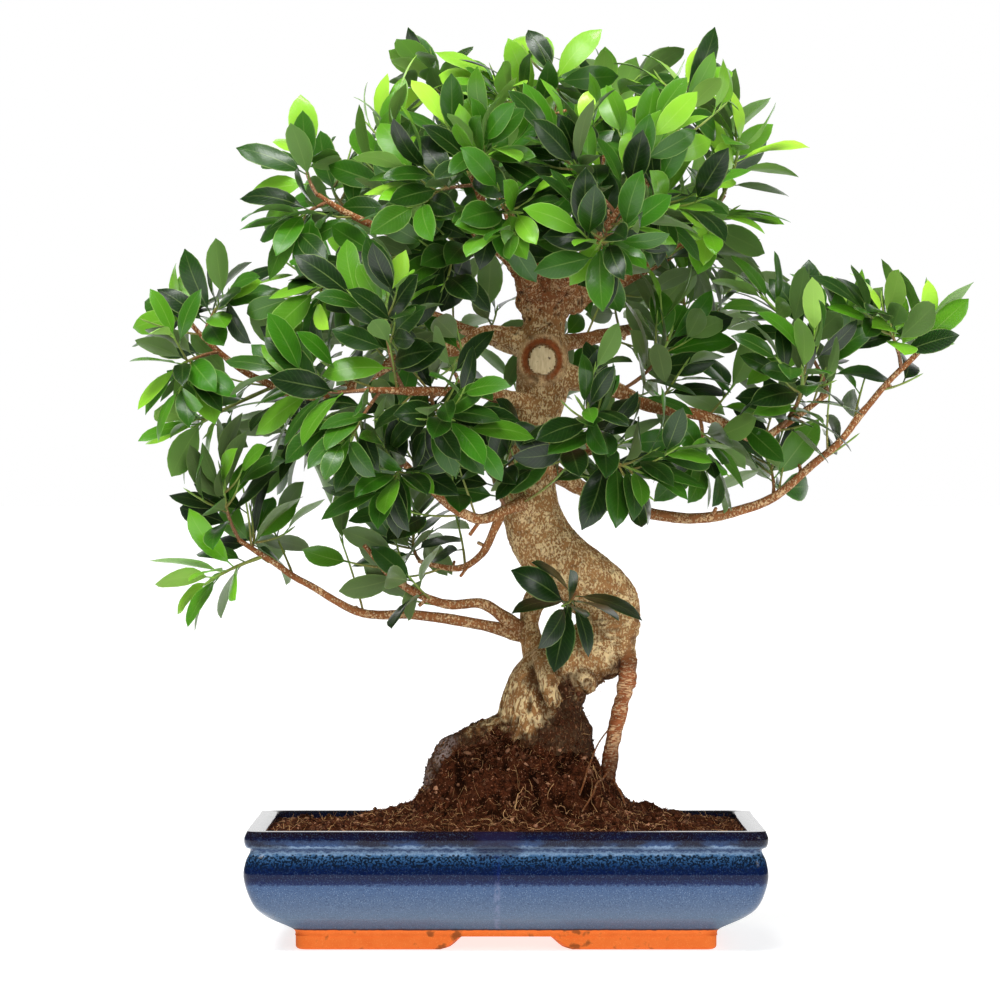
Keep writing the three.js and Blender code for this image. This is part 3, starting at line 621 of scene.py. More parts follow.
def bark_material():
    """Pale corky flakes over brown. Redder on limbs and the aerial root, dark where soil clings, with
    painted shade in creases and in the hollow beside the front root.
    """
    s = Shader("bark")
    at = s.place()
    red, stain, crease, foot, rings = (s.value(k) for k in ("red", "stain", "crease", "foot", "rings"))
    low = s.step(196.0, 148.0, s.split(at)[2])
    brown = s.mottled(at, 18.0, 4.0, (108, 66, 35), (190, 142, 90))
    rust = s.mottled(at, 8.0, 5.0, (84, 40, 20), (176, 108, 66))
    orange = s.mottled(at, 7.0, 5.0, (108, 50, 26), (198, 122, 78))
    orange = s.over(orange, low, 0.72, rgb(104, 46, 26))
    base = s.mix(red, brown, s.mix(s.step(0.9, 1.0, red), rust, orange))
    flakes = s.noise(s.place((1, 1, 1.6)), 1.8, 2.0, 0.5)
    net = s.noise(s.place((1, 1, 2.4)), 2.9, 1.5, 0.9)
    hoops = s.noise(s.place((3.5, 3.5, 1)), 1.4, 2.0, 0.4)
    pattern = s.mix(rings, s.mix(foot, flakes, net), hoops)
    bare = s.math("MULTIPLY_ADD", s.noise(at, 13.0, 4.0), -0.55, 0.76)
    bare = s.math("MULTIPLY_ADD", red, 0.045, bare)
    bare = s.math("MULTIPLY_ADD", s.step(0.7, 1.0, rings), -0.055, bare)
    cork = s.math("MULTIPLY", s.math("SUBTRACT", pattern, bare), 11.0, clamp=True)
    pale = s.mottled(at, 6.0, 2.0, (230, 196, 136), (252, 232, 184))
    cover = s.math("MULTIPLY_ADD", s.math("MAXIMUM", foot, rings), 0.16, 0.72)
    cover = s.math("SUBTRACT", cover, s.times(red, s.math("MULTIPLY_ADD", low, 0.5, 0.12)))
    base = s.over(base, cork, cover, s.mix(red, pale, rgb(238, 196, 148)))
    dots = s.dots(at, 3.6, 0.3, 0.18)
    base = s.over(base, dots, 0.6, rgb(230, 204, 164))
    base = s.mix(s.value("callus"), base, s.mottled(at, 3.0, 4.0, (108, 48, 22), (184, 106, 60)))
    # Pale tan on the scar's rolled lip, partly bark colour and partly painted highlight
    base = s.over(base, s.value("lip_tan_and_highlight"), 0.75, rgb(214, 176, 128))
    # Painted shade: dark brown in the creases, grooves and rings where the wood dips
    base = s.over(base, crease, 0.75, rgb(46, 24, 12))
    wet = s.mottled(at, 4.0, 6.0, (14, 6, 3), (70, 38, 22))
    wet = s.over(wet, s.step(0.58, 0.68, flakes), 0.55, rgb(146, 100, 70))
    grey = s.times(s.value("grey"), s.step(0.4, 0.56, s.noise(at, 2.4, 5.0)))
    wet = s.over(wet, grey, 0.85, s.mix(flakes, rgb(84, 68, 66), rgb(178, 160, 156)))
    s.set(Base_Color=s.mix(stain, base, wet), Roughness=0.8, Specular_IOR_Level=0.12)
    rough = s.bump(s.noise(at, 1.1, 5.0), 0.5, 0.7)
    s.set(Normal=s.bump(s.math("ADD", cork, dots), 0.7, 0.9, rough))
    return s.material


def cut_material():
    s = Shader("cut_wood")
    at = s.place()
    base = s.mottled(s.place((1, 1, 5)), 1.4, 5.0, (186, 156, 112), (244, 226, 184))
    base = s.mix(s.step(0.6, 0.72, s.noise(at, 5.0, 4.0)), base, rgb(84, 56, 34))
    s.set(Base_Color=base, Roughness=0.8, Normal=s.bump(s.noise(at, 1.0, 4.0), 0.5, 0.8))
    return s.material


def leaf_material():
    """Glossy on top and paler beneath, with a light midrib, faint side veins and a thin pale edge."""
    s = Shader("leaf")
    u, v, age, tone, under = (s.value(k) for k in ("leaf_u", "leaf_v", "age", "tone", "under"))
    # Tone and age carry painted light and shade besides each leaf's random tone and its age
    adult = s.mix(tone, rgb(3, 20, 2), rgb(48, 96, 16))
    middle = s.mix(tone, rgb(52, 110, 14), rgb(114, 172, 38))
    fresh = s.mix(tone, rgb(116, 184, 34), rgb(172, 226, 66))
    top = s.mix(s.step(0.0, 0.5, age), adult, middle)
    top = s.mix(s.step(0.5, 1.0, age), top, fresh)
    side = s.math("ABSOLUTE", u)
    veins = s.math("SINE", s.math("SUBTRACT", s.times(v, 75.0), s.times(side, 16.0)))
    vein = s.step(0.75, 1.0, veins)
    top = s.over(top, vein, 0.03, rgb(150, 190, 90))
    top = s.over(top, s.noise(s.place(), 14.0, 2.0), 0.12, rgb(72, 130, 40))
    beneath = s.mix(0.5, top, rgb(136, 164, 98))
    base = s.mix(s.step(0.49, 0.51, under), top, beneath)
    rib = s.times(s.step(0.07, 0.02, side), s.math("SUBTRACT", 0.32, s.times(v, 0.26)))
    edge = s.times(s.step(0.9, 0.97, side), 0.36)
    base = s.mix(s.math("MAXIMUM", rib, edge), base, s.mix(0.6, top, rgb(186, 214, 120)))
    s.set(Base_Color=base, Specular_IOR_Level=0.4, Coat_Weight=0.22, Coat_Roughness=0.16)
    s.set(Roughness=s.math("MULTIPLY_ADD", under, 0.35, 0.3))
    s.set(Subsurface_Weight=0.08, Subsurface_Scale=0.0015, Subsurface_Radius=(0.4, 1.0, 0.2))
    s.set(Normal=s.bump(s.math("ADD", s.times(vein, 0.3), rib), 0.3, 0.5))
    return s.material


def twig_material():
    """Brown with pale dots where it is woody, and green at its young end."""
    s = Shader("twig")
    at = s.place()
    bark = s.mottled(at, 5.0, 4.0, (98, 60, 36), (150, 104, 66))
    bark = s.mix(s.dots(at, 2.4, 0.28, 0.14), bark, rgb(206, 176, 132))
    fresh = s.mottled(at, 7.0, 2.0, (104, 140, 52), (150, 180, 84))
    s.set(Base_Color=s.mix(s.value("green"), bark, fresh), Roughness=0.5)
    s.set(Normal=s.bump(s.noise(at, 1.4, 3.0), 0.3, 0.6))
    return s.material


def screen_material():
    s = Shader("screen_plastic")
    at = s.place()
    s.set(Base_Color=s.mottled(at, 5.0, 3.0, (28, 28, 30), (52, 50, 48)), Roughness=0.55)
    s.set(Normal=s.bump(s.noise(at, 0.8, 3.0), 0.1, 0.6))
    return s.material


# Pot

CORNERS = ((1, 1), (-1, 1), (-1, -1), (1, -1))
# Steps round each corner and along each side of the pot and of its feet
POT_STEPS = (8, 24)
FOOT_STEPS = (6, 90)


def plan_ring(half_x, half_y, corner, arc_steps, side_steps):
    """A rounded rectangle in plan, with its straight sides in even steps."""
    reach = np.array([half_x - corner, half_y - corner])
    ring = []
    for k, way in enumerate(CORNERS):
        for i in range(arc_steps + 1):
            a = math.radians(90 * k + 90 * i / arc_steps)
            arm = corner * np.array([math.cos(a), math.sin(a)])
            ring.append(reach * way + arm)
        start, end = ring[-1], reach * CORNERS[(k + 1) % 4] + arm
        for i in range(1, side_steps):
            ring.append(start + (end - start) * i / side_steps)
    return np.array(ring)


def pot_rings(profile, corner, steps_each):
    """Rings along a smooth curve through a pot profile of half lengths and heights."""
    rings = []
    steps = steps_each * (len(profile) - 1)
    for i in range(steps + 1):
        half, z = row_at(profile, i / steps)
        plan = plan_ring(half, half - POT_LONGER, corner, *POT_STEPS)
        rings.append(np.column_stack([plan, np.full(len(plan), z)]))
    return rings


def make_pot():
    """The glazed body, a little uneven, with a seam that stands out in front and behind."""
    outer = pot_rings(POT_OUTER, POT_CORNER, 6)
    inner = pot_rings(POT_INNER, POT_CORNER_INNER, 4)
    rim_middle = (outer[-1] + inner[0]) / 2
    rim_middle[:, 2] += 0.4
    rings = np.array([*outer, rim_middle, *inner])
    flat = rings.reshape(-1, 3)
    away = flat * np.array([1, 1, 0])
    away /= np.linalg.norm(away, axis=1)[:, None]
    wobble = 0.35 * noise(flat, 38.0, 3) + 0.12 * noise(flat, 9.0, 4)
    seam = 0.5 * bell(flat[:, 0], SEAM_X, 1.6) * (flat[:, 2] < SEAM_TOP)
    flat = flat + away * (wobble + seam)[:, None]
    parts = Parts()
    parts.add(*loft(flat.reshape(rings.shape)))
    piece = parts.make("pot_glazed", [GLAZE], sharp=50)
    for x in (-DRAIN_X, DRAIN_X):
        drill(piece, [(x, 0, UNDERSIDE_Z - 8), (x, 0, FLOOR_Z + 8)], DRAIN_R)
    place(piece, "glaze", "pot")


def drill(piece, path, radius):
    """Cuts a round hole along a path."""
    parts = Parts()
    parts.tube(np.array(path, float), [radius] * len(path), 32)
    cutter = parts.make("drain_cutter", [])
    modifier = piece.modifiers.new("cut", "BOOLEAN")
    modifier.object = cutter
    modifier.operation = "DIFFERENCE"
    modifier.solver = "EXACT"
    apply_modifiers(piece)
    bpy.data.objects.remove(cutter)


def apply_modifiers(piece):
    bpy.context.view_layer.update()
    depsgraph = bpy.context.evaluated_depsgraph_get()
    mesh = bpy.data.meshes.new_from_object(piece.evaluated_get(depsgraph))
    piece.modifiers.clear()
    piece.data = mesh


def foot_gap_height(distance, gap):
    """How far up the gap between two feet reaches, at a distance along the side from its middle."""
    top, bottom = gap
    return UNDERSIDE_Z * (1 - smoothstep(top - 2, bottom, distance) ** 0.8)


def make_feet():
    """A ring of clay under the pot, thinned between the four feet."""
    plan = plan_ring(FOOT_OUT, FOOT_OUT - POT_LONGER, POT_CORNER_INNER, *FOOT_STEPS)
    inner = plan_ring(FOOT_OUT - FOOT_WIDE, FOOT_OUT - FOOT_WIDE - POT_LONGER, 5.0, *FOOT_STEPS)
    long_side = np.abs(plan[:, 1]) > FOOT_OUT - POT_LONGER - 1
    short_side = np.abs(plan[:, 0]) > FOOT_OUT - 1
    floor = np.zeros(len(plan))
    floor = np.where(long_side, foot_gap_height(np.abs(plan[:, 0]), FOOT_GAP_LONG), floor)
    floor = np.where(short_side, foot_gap_height(np.abs(plan[:, 1]), FOOT_GAP_SHORT), floor)
    floor = np.minimum(floor, UNDERSIDE_Z - 0.4)
    top = UNDERSIDE_Z + 0.3
    bevel = np.minimum(FOOT_BEVEL, (top - floor) * 0.4)
    slope = (plan - inner) / FOOT_WIDE
    section = [
        (plan, top), (plan, floor + bevel), (plan - slope * 0.3 * bevel[:, None], floor + 0.4 * bevel),
        (plan - slope * bevel[:, None], floor), (inner + slope, floor), (inner, floor + 1.0),
        (inner, top)]
    rings = np.array([np.column_stack([xy, np.broadcast_to(z, len(xy))]) for xy, z in section])
    flat = rings.reshape(-1, 3)
    flat[:, :2] += 0.25 * np.column_stack([noise(flat, 12.0, 5), noise(flat, 12.0, 6)])
    rows, columns = rings.shape[:2]
    first = np.arange(columns)
    last = first + (rows - 1) * columns
    close = np.stack([last, np.roll(last, -1), np.roll(first, -1), first], axis=-1)
    parts = Parts()
    parts.add(flat, np.concatenate([grid_quads(rows, columns), close]))
    place(parts.make("pot_feet", [CLAY], sharp=55), "glaze", "pot")


# Soil

# How many crumbs and hairs lie scattered, on the rootball and on the foot of the wood
CRUMBS = (3600, 900, 1300)
HAIRS = (2000, 2500, 900)
FIBRES = 1100
# Points along and across the soil's surface
SOIL_GRID = (230, 165)
LARGEST_CRUMB = 3.8


def soil_height(x, y):
    """As the solid's surface: level at the rim, heaped towards the trunk over a steep rootball."""
    heap = HEAP * mound(x, y, HEAP_AT, HEAP_HALF)
    ball = BALL * mound(x, y, BALL_AT, BALL_HALF, 6)
    return SOIL_EDGE_Z + heap + ball + 2.2 * np.sin(x * 0.11) * np.cos(y * 0.13)


def soil_relief(x, y):
    """Lumps of the soil, coarser on the rootball, and how deep the pits between them are, for the shade
    painted there.
    """
    flat = np.column_stack([x, y, np.zeros(len(x))])
    from_edge = np.minimum(SOIL_HALF[0] - np.abs(x), SOIL_HALF[1] - np.abs(y))
    inside = 0.25 + 0.75 * smoothstep(0, 14, from_edge)
    steep = mound(x, y, STEEP_AT, STEEP_HALF, 4)
    broad = 2.4 * noise(flat, 17.0, 11) + 5.0 * np.abs(noise(flat, 20.0, 14)) * steep
    fine = (1.5 + 3.8 * steep) * noise(flat, 7.0, 12) + (1.0 + 1.2 * steep) * noise(flat, 3.2, 13)
    return (broad + fine) * inside, smoothstep(0.6, -2.2, fine)


def rough_soil(x, y):
    return soil_height(x, y) + soil_relief(x, y)[0]


def fit_to_pot(u, v, half):
    """Moves points of a square from -1 to 1 onto a rounded rectangle of a half length."""
    x, y = u * half, v * (half - POT_LONGER)
    corner = POT_CORNER_INNER - 1
    straight_x, straight_y = half - corner, half - POT_LONGER - corner
    near_x, near_y = np.clip(x, -straight_x, straight_x), np.clip(y, -straight_y, straight_y)
    dx, dy = x - near_x, y - near_y
    square, disc = np.maximum(np.abs(dx), np.abs(dy)), np.hypot(dx, dy)
    scale = np.where(disc > 0, square / np.maximum(disc, 1e-9), 1.0)
    return near_x + dx * scale, near_y + dy * scale


def make_soil():
    """A rough top, and smooth walls inside the pot's down to the drain screens."""
    columns, rows = SOIL_GRID
    u, v = (grid.ravel() for grid in np.meshgrid(np.linspace(-1, 1, columns), np.linspace(-1, 1, rows)))
    x, y = fit_to_pot(u, v, SOIL_HALF[0] - 0.4)
    top = np.column_stack([x, y, rough_soil(x, y)])
    index = np.arange(rows * columns).reshape(rows, columns)
    loop = np.concatenate([index[0, :-1], index[:-1, -1], index[-1, :0:-1], index[:0:-1, 0]])
    walls = []
    for half, z in POT_INNER[2:]:
        wall = fit_to_pot(u[loop], v[loop], half - 0.6)
        walls.append(np.column_stack([*wall, np.full(len(loop), max(z, SCREEN_TOP))]))
    points = np.concatenate([top, *walls, [walls[-1].mean(axis=0)]])
    below = np.arange(len(top), len(points) - 1).reshape(len(walls), -1)
    loops = [loop, *below]
    sides = [np.stack([a, np.roll(a, -1), np.roll(b, -1), b], axis=-1) for a, b in zip(loops, below)]
    bottom = fan(below[-1, 0], len(loop), len(points) - 1)
    plain = np.zeros(len(points) - len(top))
    tone = np.concatenate([0.3 + 0.3 * noise(top, 9.0, 15), plain])
    # How deep each pit is, for the painted shade there
    pit = np.concatenate([soil_relief(x, y)[1], plain])
    quads = np.concatenate([grid_quads(rows, columns, closed=False), *sides])
    parts = Parts()
    parts.add(points, quads, bottom, tone=tone, pit=pit)
    place(parts.make("soil_bed", [SOIL]), "soil", "soil")


def scatter(random, count, margin):
    """Random places on the soil, with the height of its surface."""
    x, y = (random.uniform(-(half - margin), half - margin, count) for half in SOIL_HALF)
    return np.column_stack([x, y, rough_soil(x, y)])


def around_foot(random, count, spread, middle):
    """Random places on the rootball, with the height of its surface."""
    flat = random.normal(size=(count, 2)) * spread + middle
    return np.column_stack([flat, rough_soil(*flat.T)])


def ball_mesh():
    """The points and faces of a ball of twenty faces."""
    work = bmesh.new()
    bmesh.ops.create_icosphere(work, subdivisions=1, radius=1.0)
    points = np.array([v.co for v in work.verts])
    faces = np.array([[v.index for v in f.verts] for f in work.faces])
    work.free()
    return points, faces


def make_crumbs(foot_points):
    """Loose crumbs of peat and bark over the soil and on the foot of the wood."""
    random = np.random.default_rng(21)
    scattered, on_ball, on_wood = CRUMBS
    ball_points, ball_faces = ball_mesh()
    clinging = foot_points[random.integers(0, len(foot_points), on_wood)]
    rootball = around_foot(random, on_ball, (46, 34), (6, -22))
    where = np.concatenate([scatter(random, scattered, 4), rootball, clinging])
    count = len(where)
    size = np.minimum(random.gamma(1.7, 0.5, count) + 0.4, LARGEST_CRUMB)
    size[-len(clinging):] *= 0.75
    turns = np.linalg.qr(random.normal(size=(count, 3, 3)))[0]
    shape = random.uniform(0.3, 1.4, (count, 1, 3))
    knob = 1 + 0.3 * random.uniform(-1, 1, (count, len(ball_points), 1))
    points = np.einsum("nij,nkj->nki", turns, ball_points[None] * shape * knob) * size[:, None, None]
    points += where[:, None]
    faces = ball_faces[None] + (np.arange(count) * len(ball_points))[:, None, None]
    tone = np.repeat(random.uniform(0, 1, count) ** 5.0, len(ball_points))
    parts = Parts()
    parts.add(points.reshape(-1, 3), triangles=faces.reshape(-1, 3), tone=tone)
    place(parts.make("soil_crumbs", [CRUMB], sharp=30), "soil")


def fibre(parts, random, start, length, radius, curl, lift, tone, steps, sides):
    """A thin root or husk fibre that wanders over the soil from a start."""
    angle = random.uniform(0, 2 * math.pi)
    angles = angle + np.cumsum(random.normal(size=steps) * curl)
    path = np.cumsum(np.column_stack([np.cos(angles), np.sin(angles)]) * length / steps, axis=0) + start[:2]
    limit = np.array(SOIL_HALF) - 3
    path = np.clip(np.vstack([start[:2], path]), -limit, limit)
    arch = np.sin(math.pi * np.arange(steps + 1) / steps) * (0.5 + random.random(steps + 1))
    z = rough_soil(*path.T) + radius * 0.5 + lift * arch
    parts.tube(np.column_stack([path, z]), np.linspace(radius, radius * 0.45, steps + 1), sides, tone=tone)


# Red rootlets from the aerial root, which lie on the soil where they reach it: x, y, z and radius
ROOTLETS = [
    [(96, -8, 194, 0.7), (84, -24, 179, 0.7), (76, -47, 162, 0.8), (70, -64, 145, 0.9), (66, -72, 134, 0.6)],
    [(95, -14, 155, 1.1), (88, -42, 148, 1.0), (77, -68, 133, 0.9), (68, -84, 120, 0.6)],
    [(97, -12, 146, 1.1), (104, -30, 133, 1.0), (108, -46, 122, 0.7)]]
# Tufts of coarse coir in front of the trunk: spread, middle and count
TUFTS = [((30, 12), (78, -70), 18), ((60, 16), (20, -100), 14)]


def make_fibres():
    """Coir and rootlets, the longest and palest of them in front of the trunk."""
    random = np.random.default_rng(22)
    parts = Parts()
    for rows in ROOTLETS:
        samples = walk(rows, 24)
        samples[:, 2] = np.maximum(samples[:, 2], rough_soil(*samples[:, :2].T) + 0.6 * samples[:, 3])
        parts.tube(samples[:, :3], samples[:, 3], 7, material=1, red=0.86, stain=0.45)
    for start in scatter(random, FIBRES, 8):
        fibre(parts, random, start, random.uniform(5, 20), random.uniform(0.12, 0.26), 0.5,
              random.uniform(0, 2.6), random.random() ** 3, 5, 4)
    for spread, middle, count in TUFTS:
        for _ in range(count):
            start = random.normal(size=2) * spread + middle
            fibre(parts, random, start, random.uniform(8, 26), random.uniform(0.14, 0.34), 0.4,
                  random.uniform(0.5, 3), random.uniform(0.35, 0.9), 9, 5)
    place(parts.make("soil_fibres", [FIBRE, BARK]), "soil")


def make_hairs(foot_points):
    """Short hairs of peat that stand out all over the soil and the rootball."""
    random = np.random.default_rng(23)
    scattered, on_ball, on_wood = HAIRS
    parts = Parts()
    rootball = around_foot(random, on_ball, (50, 30), (8, -36))
    foot = foot_points[random.integers(0, len(foot_points), on_wood)]
    share = np.linspace(-0.15, 1, 3)[:, None]
    for start in np.concatenate([scatter(random, scattered, 3), rootball, foot]):
        way = unit(random.normal(size=3) * (1, 0.8, 0.7) + (0, -0.3, 0.45))
        length, bend = random.uniform(2.0, 7.0), random.normal(size=3) * 0.35
        path = start + length * (share * way + share ** 2 * bend)
        radius = random.uniform(0.12, 0.24) * np.array([1.0, 0.9, 0.4])
        tone = random.random() ** (2 + 4 * smoothstep(112, 140, start[2]))
        parts.tube(path, radius, 3, tone=tone)
    place(parts.make("soil_hairs", [FIBRE]), "soil")


# Wood

# Where the foot is ridged, the upper trunk is flaky, the bark is roughest and turns red, and the aerial
# root ends in the trunk: the height where the look begins and where it is full
FOOT_Z = (262, 215)
UPPER_Z = (235, 275)
ROUGHEST_Z = (535, 570)
RED_Z = (545, 590)
AERIAL_Z = (268, 246)
# Where the trunk bends outwards under rings of bark: middle and half height, and x where they begin
BEND_AT, BEND_HALF, BEND_X = 285, 34, (60, 92)
# How high soil clings to the foot, and by how much it clings higher from one x to another
SOIL_LINE_Z = 190
SOIL_LINE_RISES = [(43, (26, 52)), (18, (74, 100)), (16, (12, -20))]
AERIAL_SOIL_Z = 142
# The aerial root's dark collar and its damp foot
COLLAR_Z = (240, 250)
DAMP_Z = (184, 150)
# Where the left root turns grey, towards its upper left
GREY_X, GREY_Z = (-38, -52), (105, 122)
# The healed cut: its middle, and its half width and height
SCAR_AT, SCAR_HALF = (33.0, -24.0, 526.0), (20.5, 22.0)
# The hollow between the front root and the bulge, pressed in and darkened with painted shade: middle and
# half size in x and z
HOLLOW_AT, HOLLOW_HALF = (55.0, 226.0), (10.0, 19.0)
# Where the underside of the bulge and the arms of the fork stand out: middle, half size and height
SWELLINGS = [
    ((72.0, 233.0), (15.0, 9.0), 6.0), ((93.0, 248.0), (13.0, 9.0), 8.0), ((65.0, 221.0), (8.0, 9.0), 4.0),
    ((12.0, 580.0), (11.0, 15.0), 9.0), ((62.0, 578.0), (11.0, 15.0), 8.0)]
# A small round knot: x, z and radius
KNOT_AT, KNOT_R = (71.0, 236.0), 8.0
# Crumbs cling to the soiled wood above this height
CLINGING_Z = 105
TRUNK_VOXEL = 0.0016


def trunk_swell(share, angles):
    low = max(0.0, 1 - share / 0.28)
    return 1 + 0.09 * low * np.sin(3 * angles + 0.6) + 0.03 * np.sin(2 * angles + 9 * share)


def limb_curve(rows, step):
    return walk(rows, max(6, int(length_of(rows) / step)))


def make_trunk():
    """Trunk, strand, roots and the feet of the limbs, grown into one skin and then wrinkled."""
    parts = Parts()
    parts.add(*loft(tube_rings(walk(TRUNK, 110), 40, trunk_swell)))
    for rows, steps in ((STRAND, 24), (AERIAL_ROOT, 44), (FRONT_ROOT, 20), (LEFT_ROOT, 30)):
        parts.add(*loft(tube_rings(walk(rows, steps), 20)))
    for rows in LIMBS.values():
        foot = limb_curve(rows, 4.0)[:14].copy()
        foot[:, 3] *= np.linspace(1.35, 0.8, len(foot))
        parts.add(*loft(tube_rings(foot, 14)))
    piece = parts.make("trunk_bark", [])
    remesh = piece.modifiers.new("skin", "REMESH")
    remesh.mode = "VOXEL"
    remesh.voxel_size = TRUNK_VOXEL
    smooth = piece.modifiers.new("soften", "SMOOTH")
    smooth.iterations = 7
    apply_modifiers(piece)
    mesh = piece.data
    normal = read(mesh.vertex_normals, "vector", np.float32, 3).astype(float)
    p = (read(mesh.vertices, "co", np.float32, 3).astype(float) - POT_MIDDLE) / MM
    look = wrinkles(p)
    p = p + normal * look.pop("out")[:, None]
    p, bare, ring, look["callus"], look["lip_tan_and_highlight"] = carve_scar(p)
    # The scar's painted shade joins the painted shade of the creases
    look["crease"] = np.clip(np.maximum(look["crease"], ring), 0, 1)
    mesh.vertices.foreach_set("co", (p * MM + POT_MIDDLE).astype(np.float32).ravel())
    for key, value in look.items():
        store(mesh, key, value)
    finish_mesh(mesh, [BARK, CUT_WOOD])
    first_corners = read(mesh.loops, "vertex_index", np.int32)[read(mesh.polygons, "loop_start", np.int32)]
    mesh.polygons.foreach_set("material_index", bare[first_corners].astype(np.int32))
    place(piece, "bark", "trunk_and_limbs")
    return p[(look["stain"] > 0.75) & (p[:, 2] > CLINGING_Z)]


def read(items, key, kind, width=1):
    """The numbers that Blender holds for a mesh's points, corners or faces."""
    values = np.empty(len(items) * width, kind)
    items.foreach_get(key, values)
    return values.reshape(-1, width) if width > 1 else values


def far_from(p, rows):
    """How far points are from the skin of a round stem."""
    best = np.full(len(p), 1e9)
    for x, y, z, r in walk(rows, 40):
        best = np.minimum(best, np.linalg.norm(p - (x, y, z), axis=1) - r)
    return best


def creased(points, size, seed, depth):
    """A pattern of ridges, 1 on their backs and down to below 0 between them."""
    return 1 - np.abs(noise(points, size, seed)) * depth


def wrinkles(p):
    """How far the bark stands out at points of the trunk, and what shaders have to know about it."""
    x, y, z = p.T
    aerial = smoothstep(5.5, 1.5, far_from(p, AERIAL_ROOT)) * smoothstep(*AERIAL_Z, z)
    trunk = 1 - aerial
    foot = smoothstep(*FOOT_Z, z)
    bend = bell(z, BEND_AT, BEND_HALF) * smoothstep(*BEND_X, x)
    upper = smoothstep(*UPPER_Z, z) * (1 - bend) * (1 + 1.6 * smoothstep(*ROUGHEST_Z, z))
    ridges = creased(np.column_stack([x, y, z * 0.42]), 5.2, 33, 2.4)
    rings = creased(np.column_stack([x * 0.25, y * 0.25, z]), 4.2, 34, 2.2)
    flakes = creased(p, 4.4, 35, 2.0)
    out = 1.5 * noise(p, 36.0, 31) + 1.0 * noise(p, 15.0, 32)
    out = out + 1.5 * foot * ridges + 1.2 * bend * rings + 0.6 * upper * flakes
    out = out * (1 - 0.8 * aerial) + aerial * (0.4 + 0.8 * rings)
    # Painted shade in the valleys between the foot's ridges, the bend's rings and the upper flakes, and in
    # the aerial root's rings
    crease = foot * smoothstep(0.15, -0.6, ridges) + 0.7 * bend * smoothstep(0.2, -0.5, rings)
    crease += 0.5 * upper * smoothstep(0.1, -0.6, flakes)
    crease = crease * trunk + 0.8 * aerial * smoothstep(0.1, -0.6, rings)
    knot = np.hypot(x - KNOT_AT[0], z - KNOT_AT[1]) / KNOT_R
    knot = np.where(y < 0, knot, 9.0)
    out += 2.6 * bell(knot, 0.7, 0.3) - 1.0 * bell(knot, 1.3, 0.25)
    # Painted shade beside the knot's raised ring and in its sunken middle
    crease += 0.95 * bell(knot, 1.15, 0.26) + 0.7 * bell(knot, 0.3, 0.2)
    for at, half, height in SWELLINGS:
        out += height * mound(x, z, at, half) * trunk
    beside = far_from(p, FRONT_ROOT)
    groove = bell(beside, 4.5, 4.0) * smoothstep(262, 248, z) * (y < -8) * (aerial < 0.1)
    out -= 5.0 * groove
    # Painted shade in the groove beside the front root
    crease += 0.9 * groove
    deep = np.hypot((x - HOLLOW_AT[0]) / HOLLOW_HALF[0], (z - HOLLOW_AT[1]) / HOLLOW_HALF[1])
    deep = smoothstep(1.15, 0.6, deep + 0.3 * noise(p, 6.0, 48)) * (y < -6)
    out -= 4.0 * deep
    line = SOIL_LINE_Z + sum(height * smoothstep(*ends, x) for height, ends in SOIL_LINE_RISES)
    line += 9 * noise(p, 26.0, 42) + 7 * noise(p, 9.0, 43)
    line = np.where(aerial > 0.3, AERIAL_SOIL_Z, line)
    stain = smoothstep(12, -16, z - line + 12 * noise(p, 3.6, 46))
    # Painted shade: the hollow takes the dark colour of the soiled wood
    stain = np.maximum(stain, deep) * (1 - 0.85 * bell(knot, 0, 1.35, 6))
    damp = np.maximum(0.5 * smoothstep(*COLLAR_Z, z), 0.66 * smoothstep(*DAMP_Z, z))
    stain = np.maximum(stain, aerial * damp)
    stain = np.where((beside < 2.5) & (z > 212), 0.15 * stain, stain)
    clump = 2.6 * np.abs(noise(p, 9.0, 44)) + 1.0 * noise(p, 3.4, 45)
    grey_patch = smoothstep(*GREY_X, x) * smoothstep(*GREY_Z, z)
    return {
        "out": out + clump * stain * trunk + 1.6 * aerial * noise(p, 9.0, 49),
        "crease": np.clip(crease, 0, 1) * (1 - stain), "stain": stain * 0.96,
        "red": np.maximum(0.8 * smoothstep(*RED_Z, z + 14 * noise(p, 25.0, 41)), aerial),
        "foot": foot * trunk, "rings": np.maximum(0.45 * bend, aerial),
        "grey": grey_patch * smoothstep(-0.3, 0.3, noise(p, 14.0, 47)),
    }


def carve_scar(p):
    """The healed cut in the front: bare wood in a red groove with a rolled lip, and knobs at its foot, with
    painted shade in the groove and between the knobs and a pale lip that is partly painted highlight.
    """
    x, y, z = SCAR_AT
    wide, high = SCAR_HALF
    ellipse = np.hypot((p[:, 0] - x) / wide, (p[:, 2] - z) / high)
    front = (p[:, 1] < 0) & (ellipse < 1.6)
    rolled = 2.6 * bell(ellipse, 1.02, 0.12) - 2.4 * bell(ellipse, 0.76, 0.13)
    folds = mound(p[:, 0], p[:, 2], (x - 6, z - 0.78 * high), (11, 6.5))
    knots = noise(p, 5.5, 52)
    moved = p.copy()
    moved[:, 1] -= np.where(front, rolled + folds * (4.5 + 5.0 * knots), 0.0)
    floor = np.where(front, smoothstep(0.66, 0.56, ellipse), 0.0) * (1 - folds)
    grain = y + 0.5 + 3.0 * ellipse ** 2 + 0.7 * noise(p * np.array([1, 1, 0.25]), 2.6, 51)
    moved[:, 1] = moved[:, 1] * (1 - floor) + grain * floor
    callus = bell(ellipse, 0.77, 0.15, 4) * front * (1 - 0.8 * folds)
    # Painted shade in the groove round the bare wood and between the knobs
    ring = 0.9 * front * (bell(ellipse, 0.62, 0.05) + folds * smoothstep(0.0, -0.4, knots))
    # Pale tan on the rolled lip: bark colour and painted highlight
    lip_tan_and_highlight = front * np.maximum(bell(ellipse, 1.02, 0.08), folds) * (1 - callus)
    return moved, front & (ellipse < 0.59) & (folds < 0.35), ring, callus, lip_tan_and_highlight


LIMB_SIDES = 14


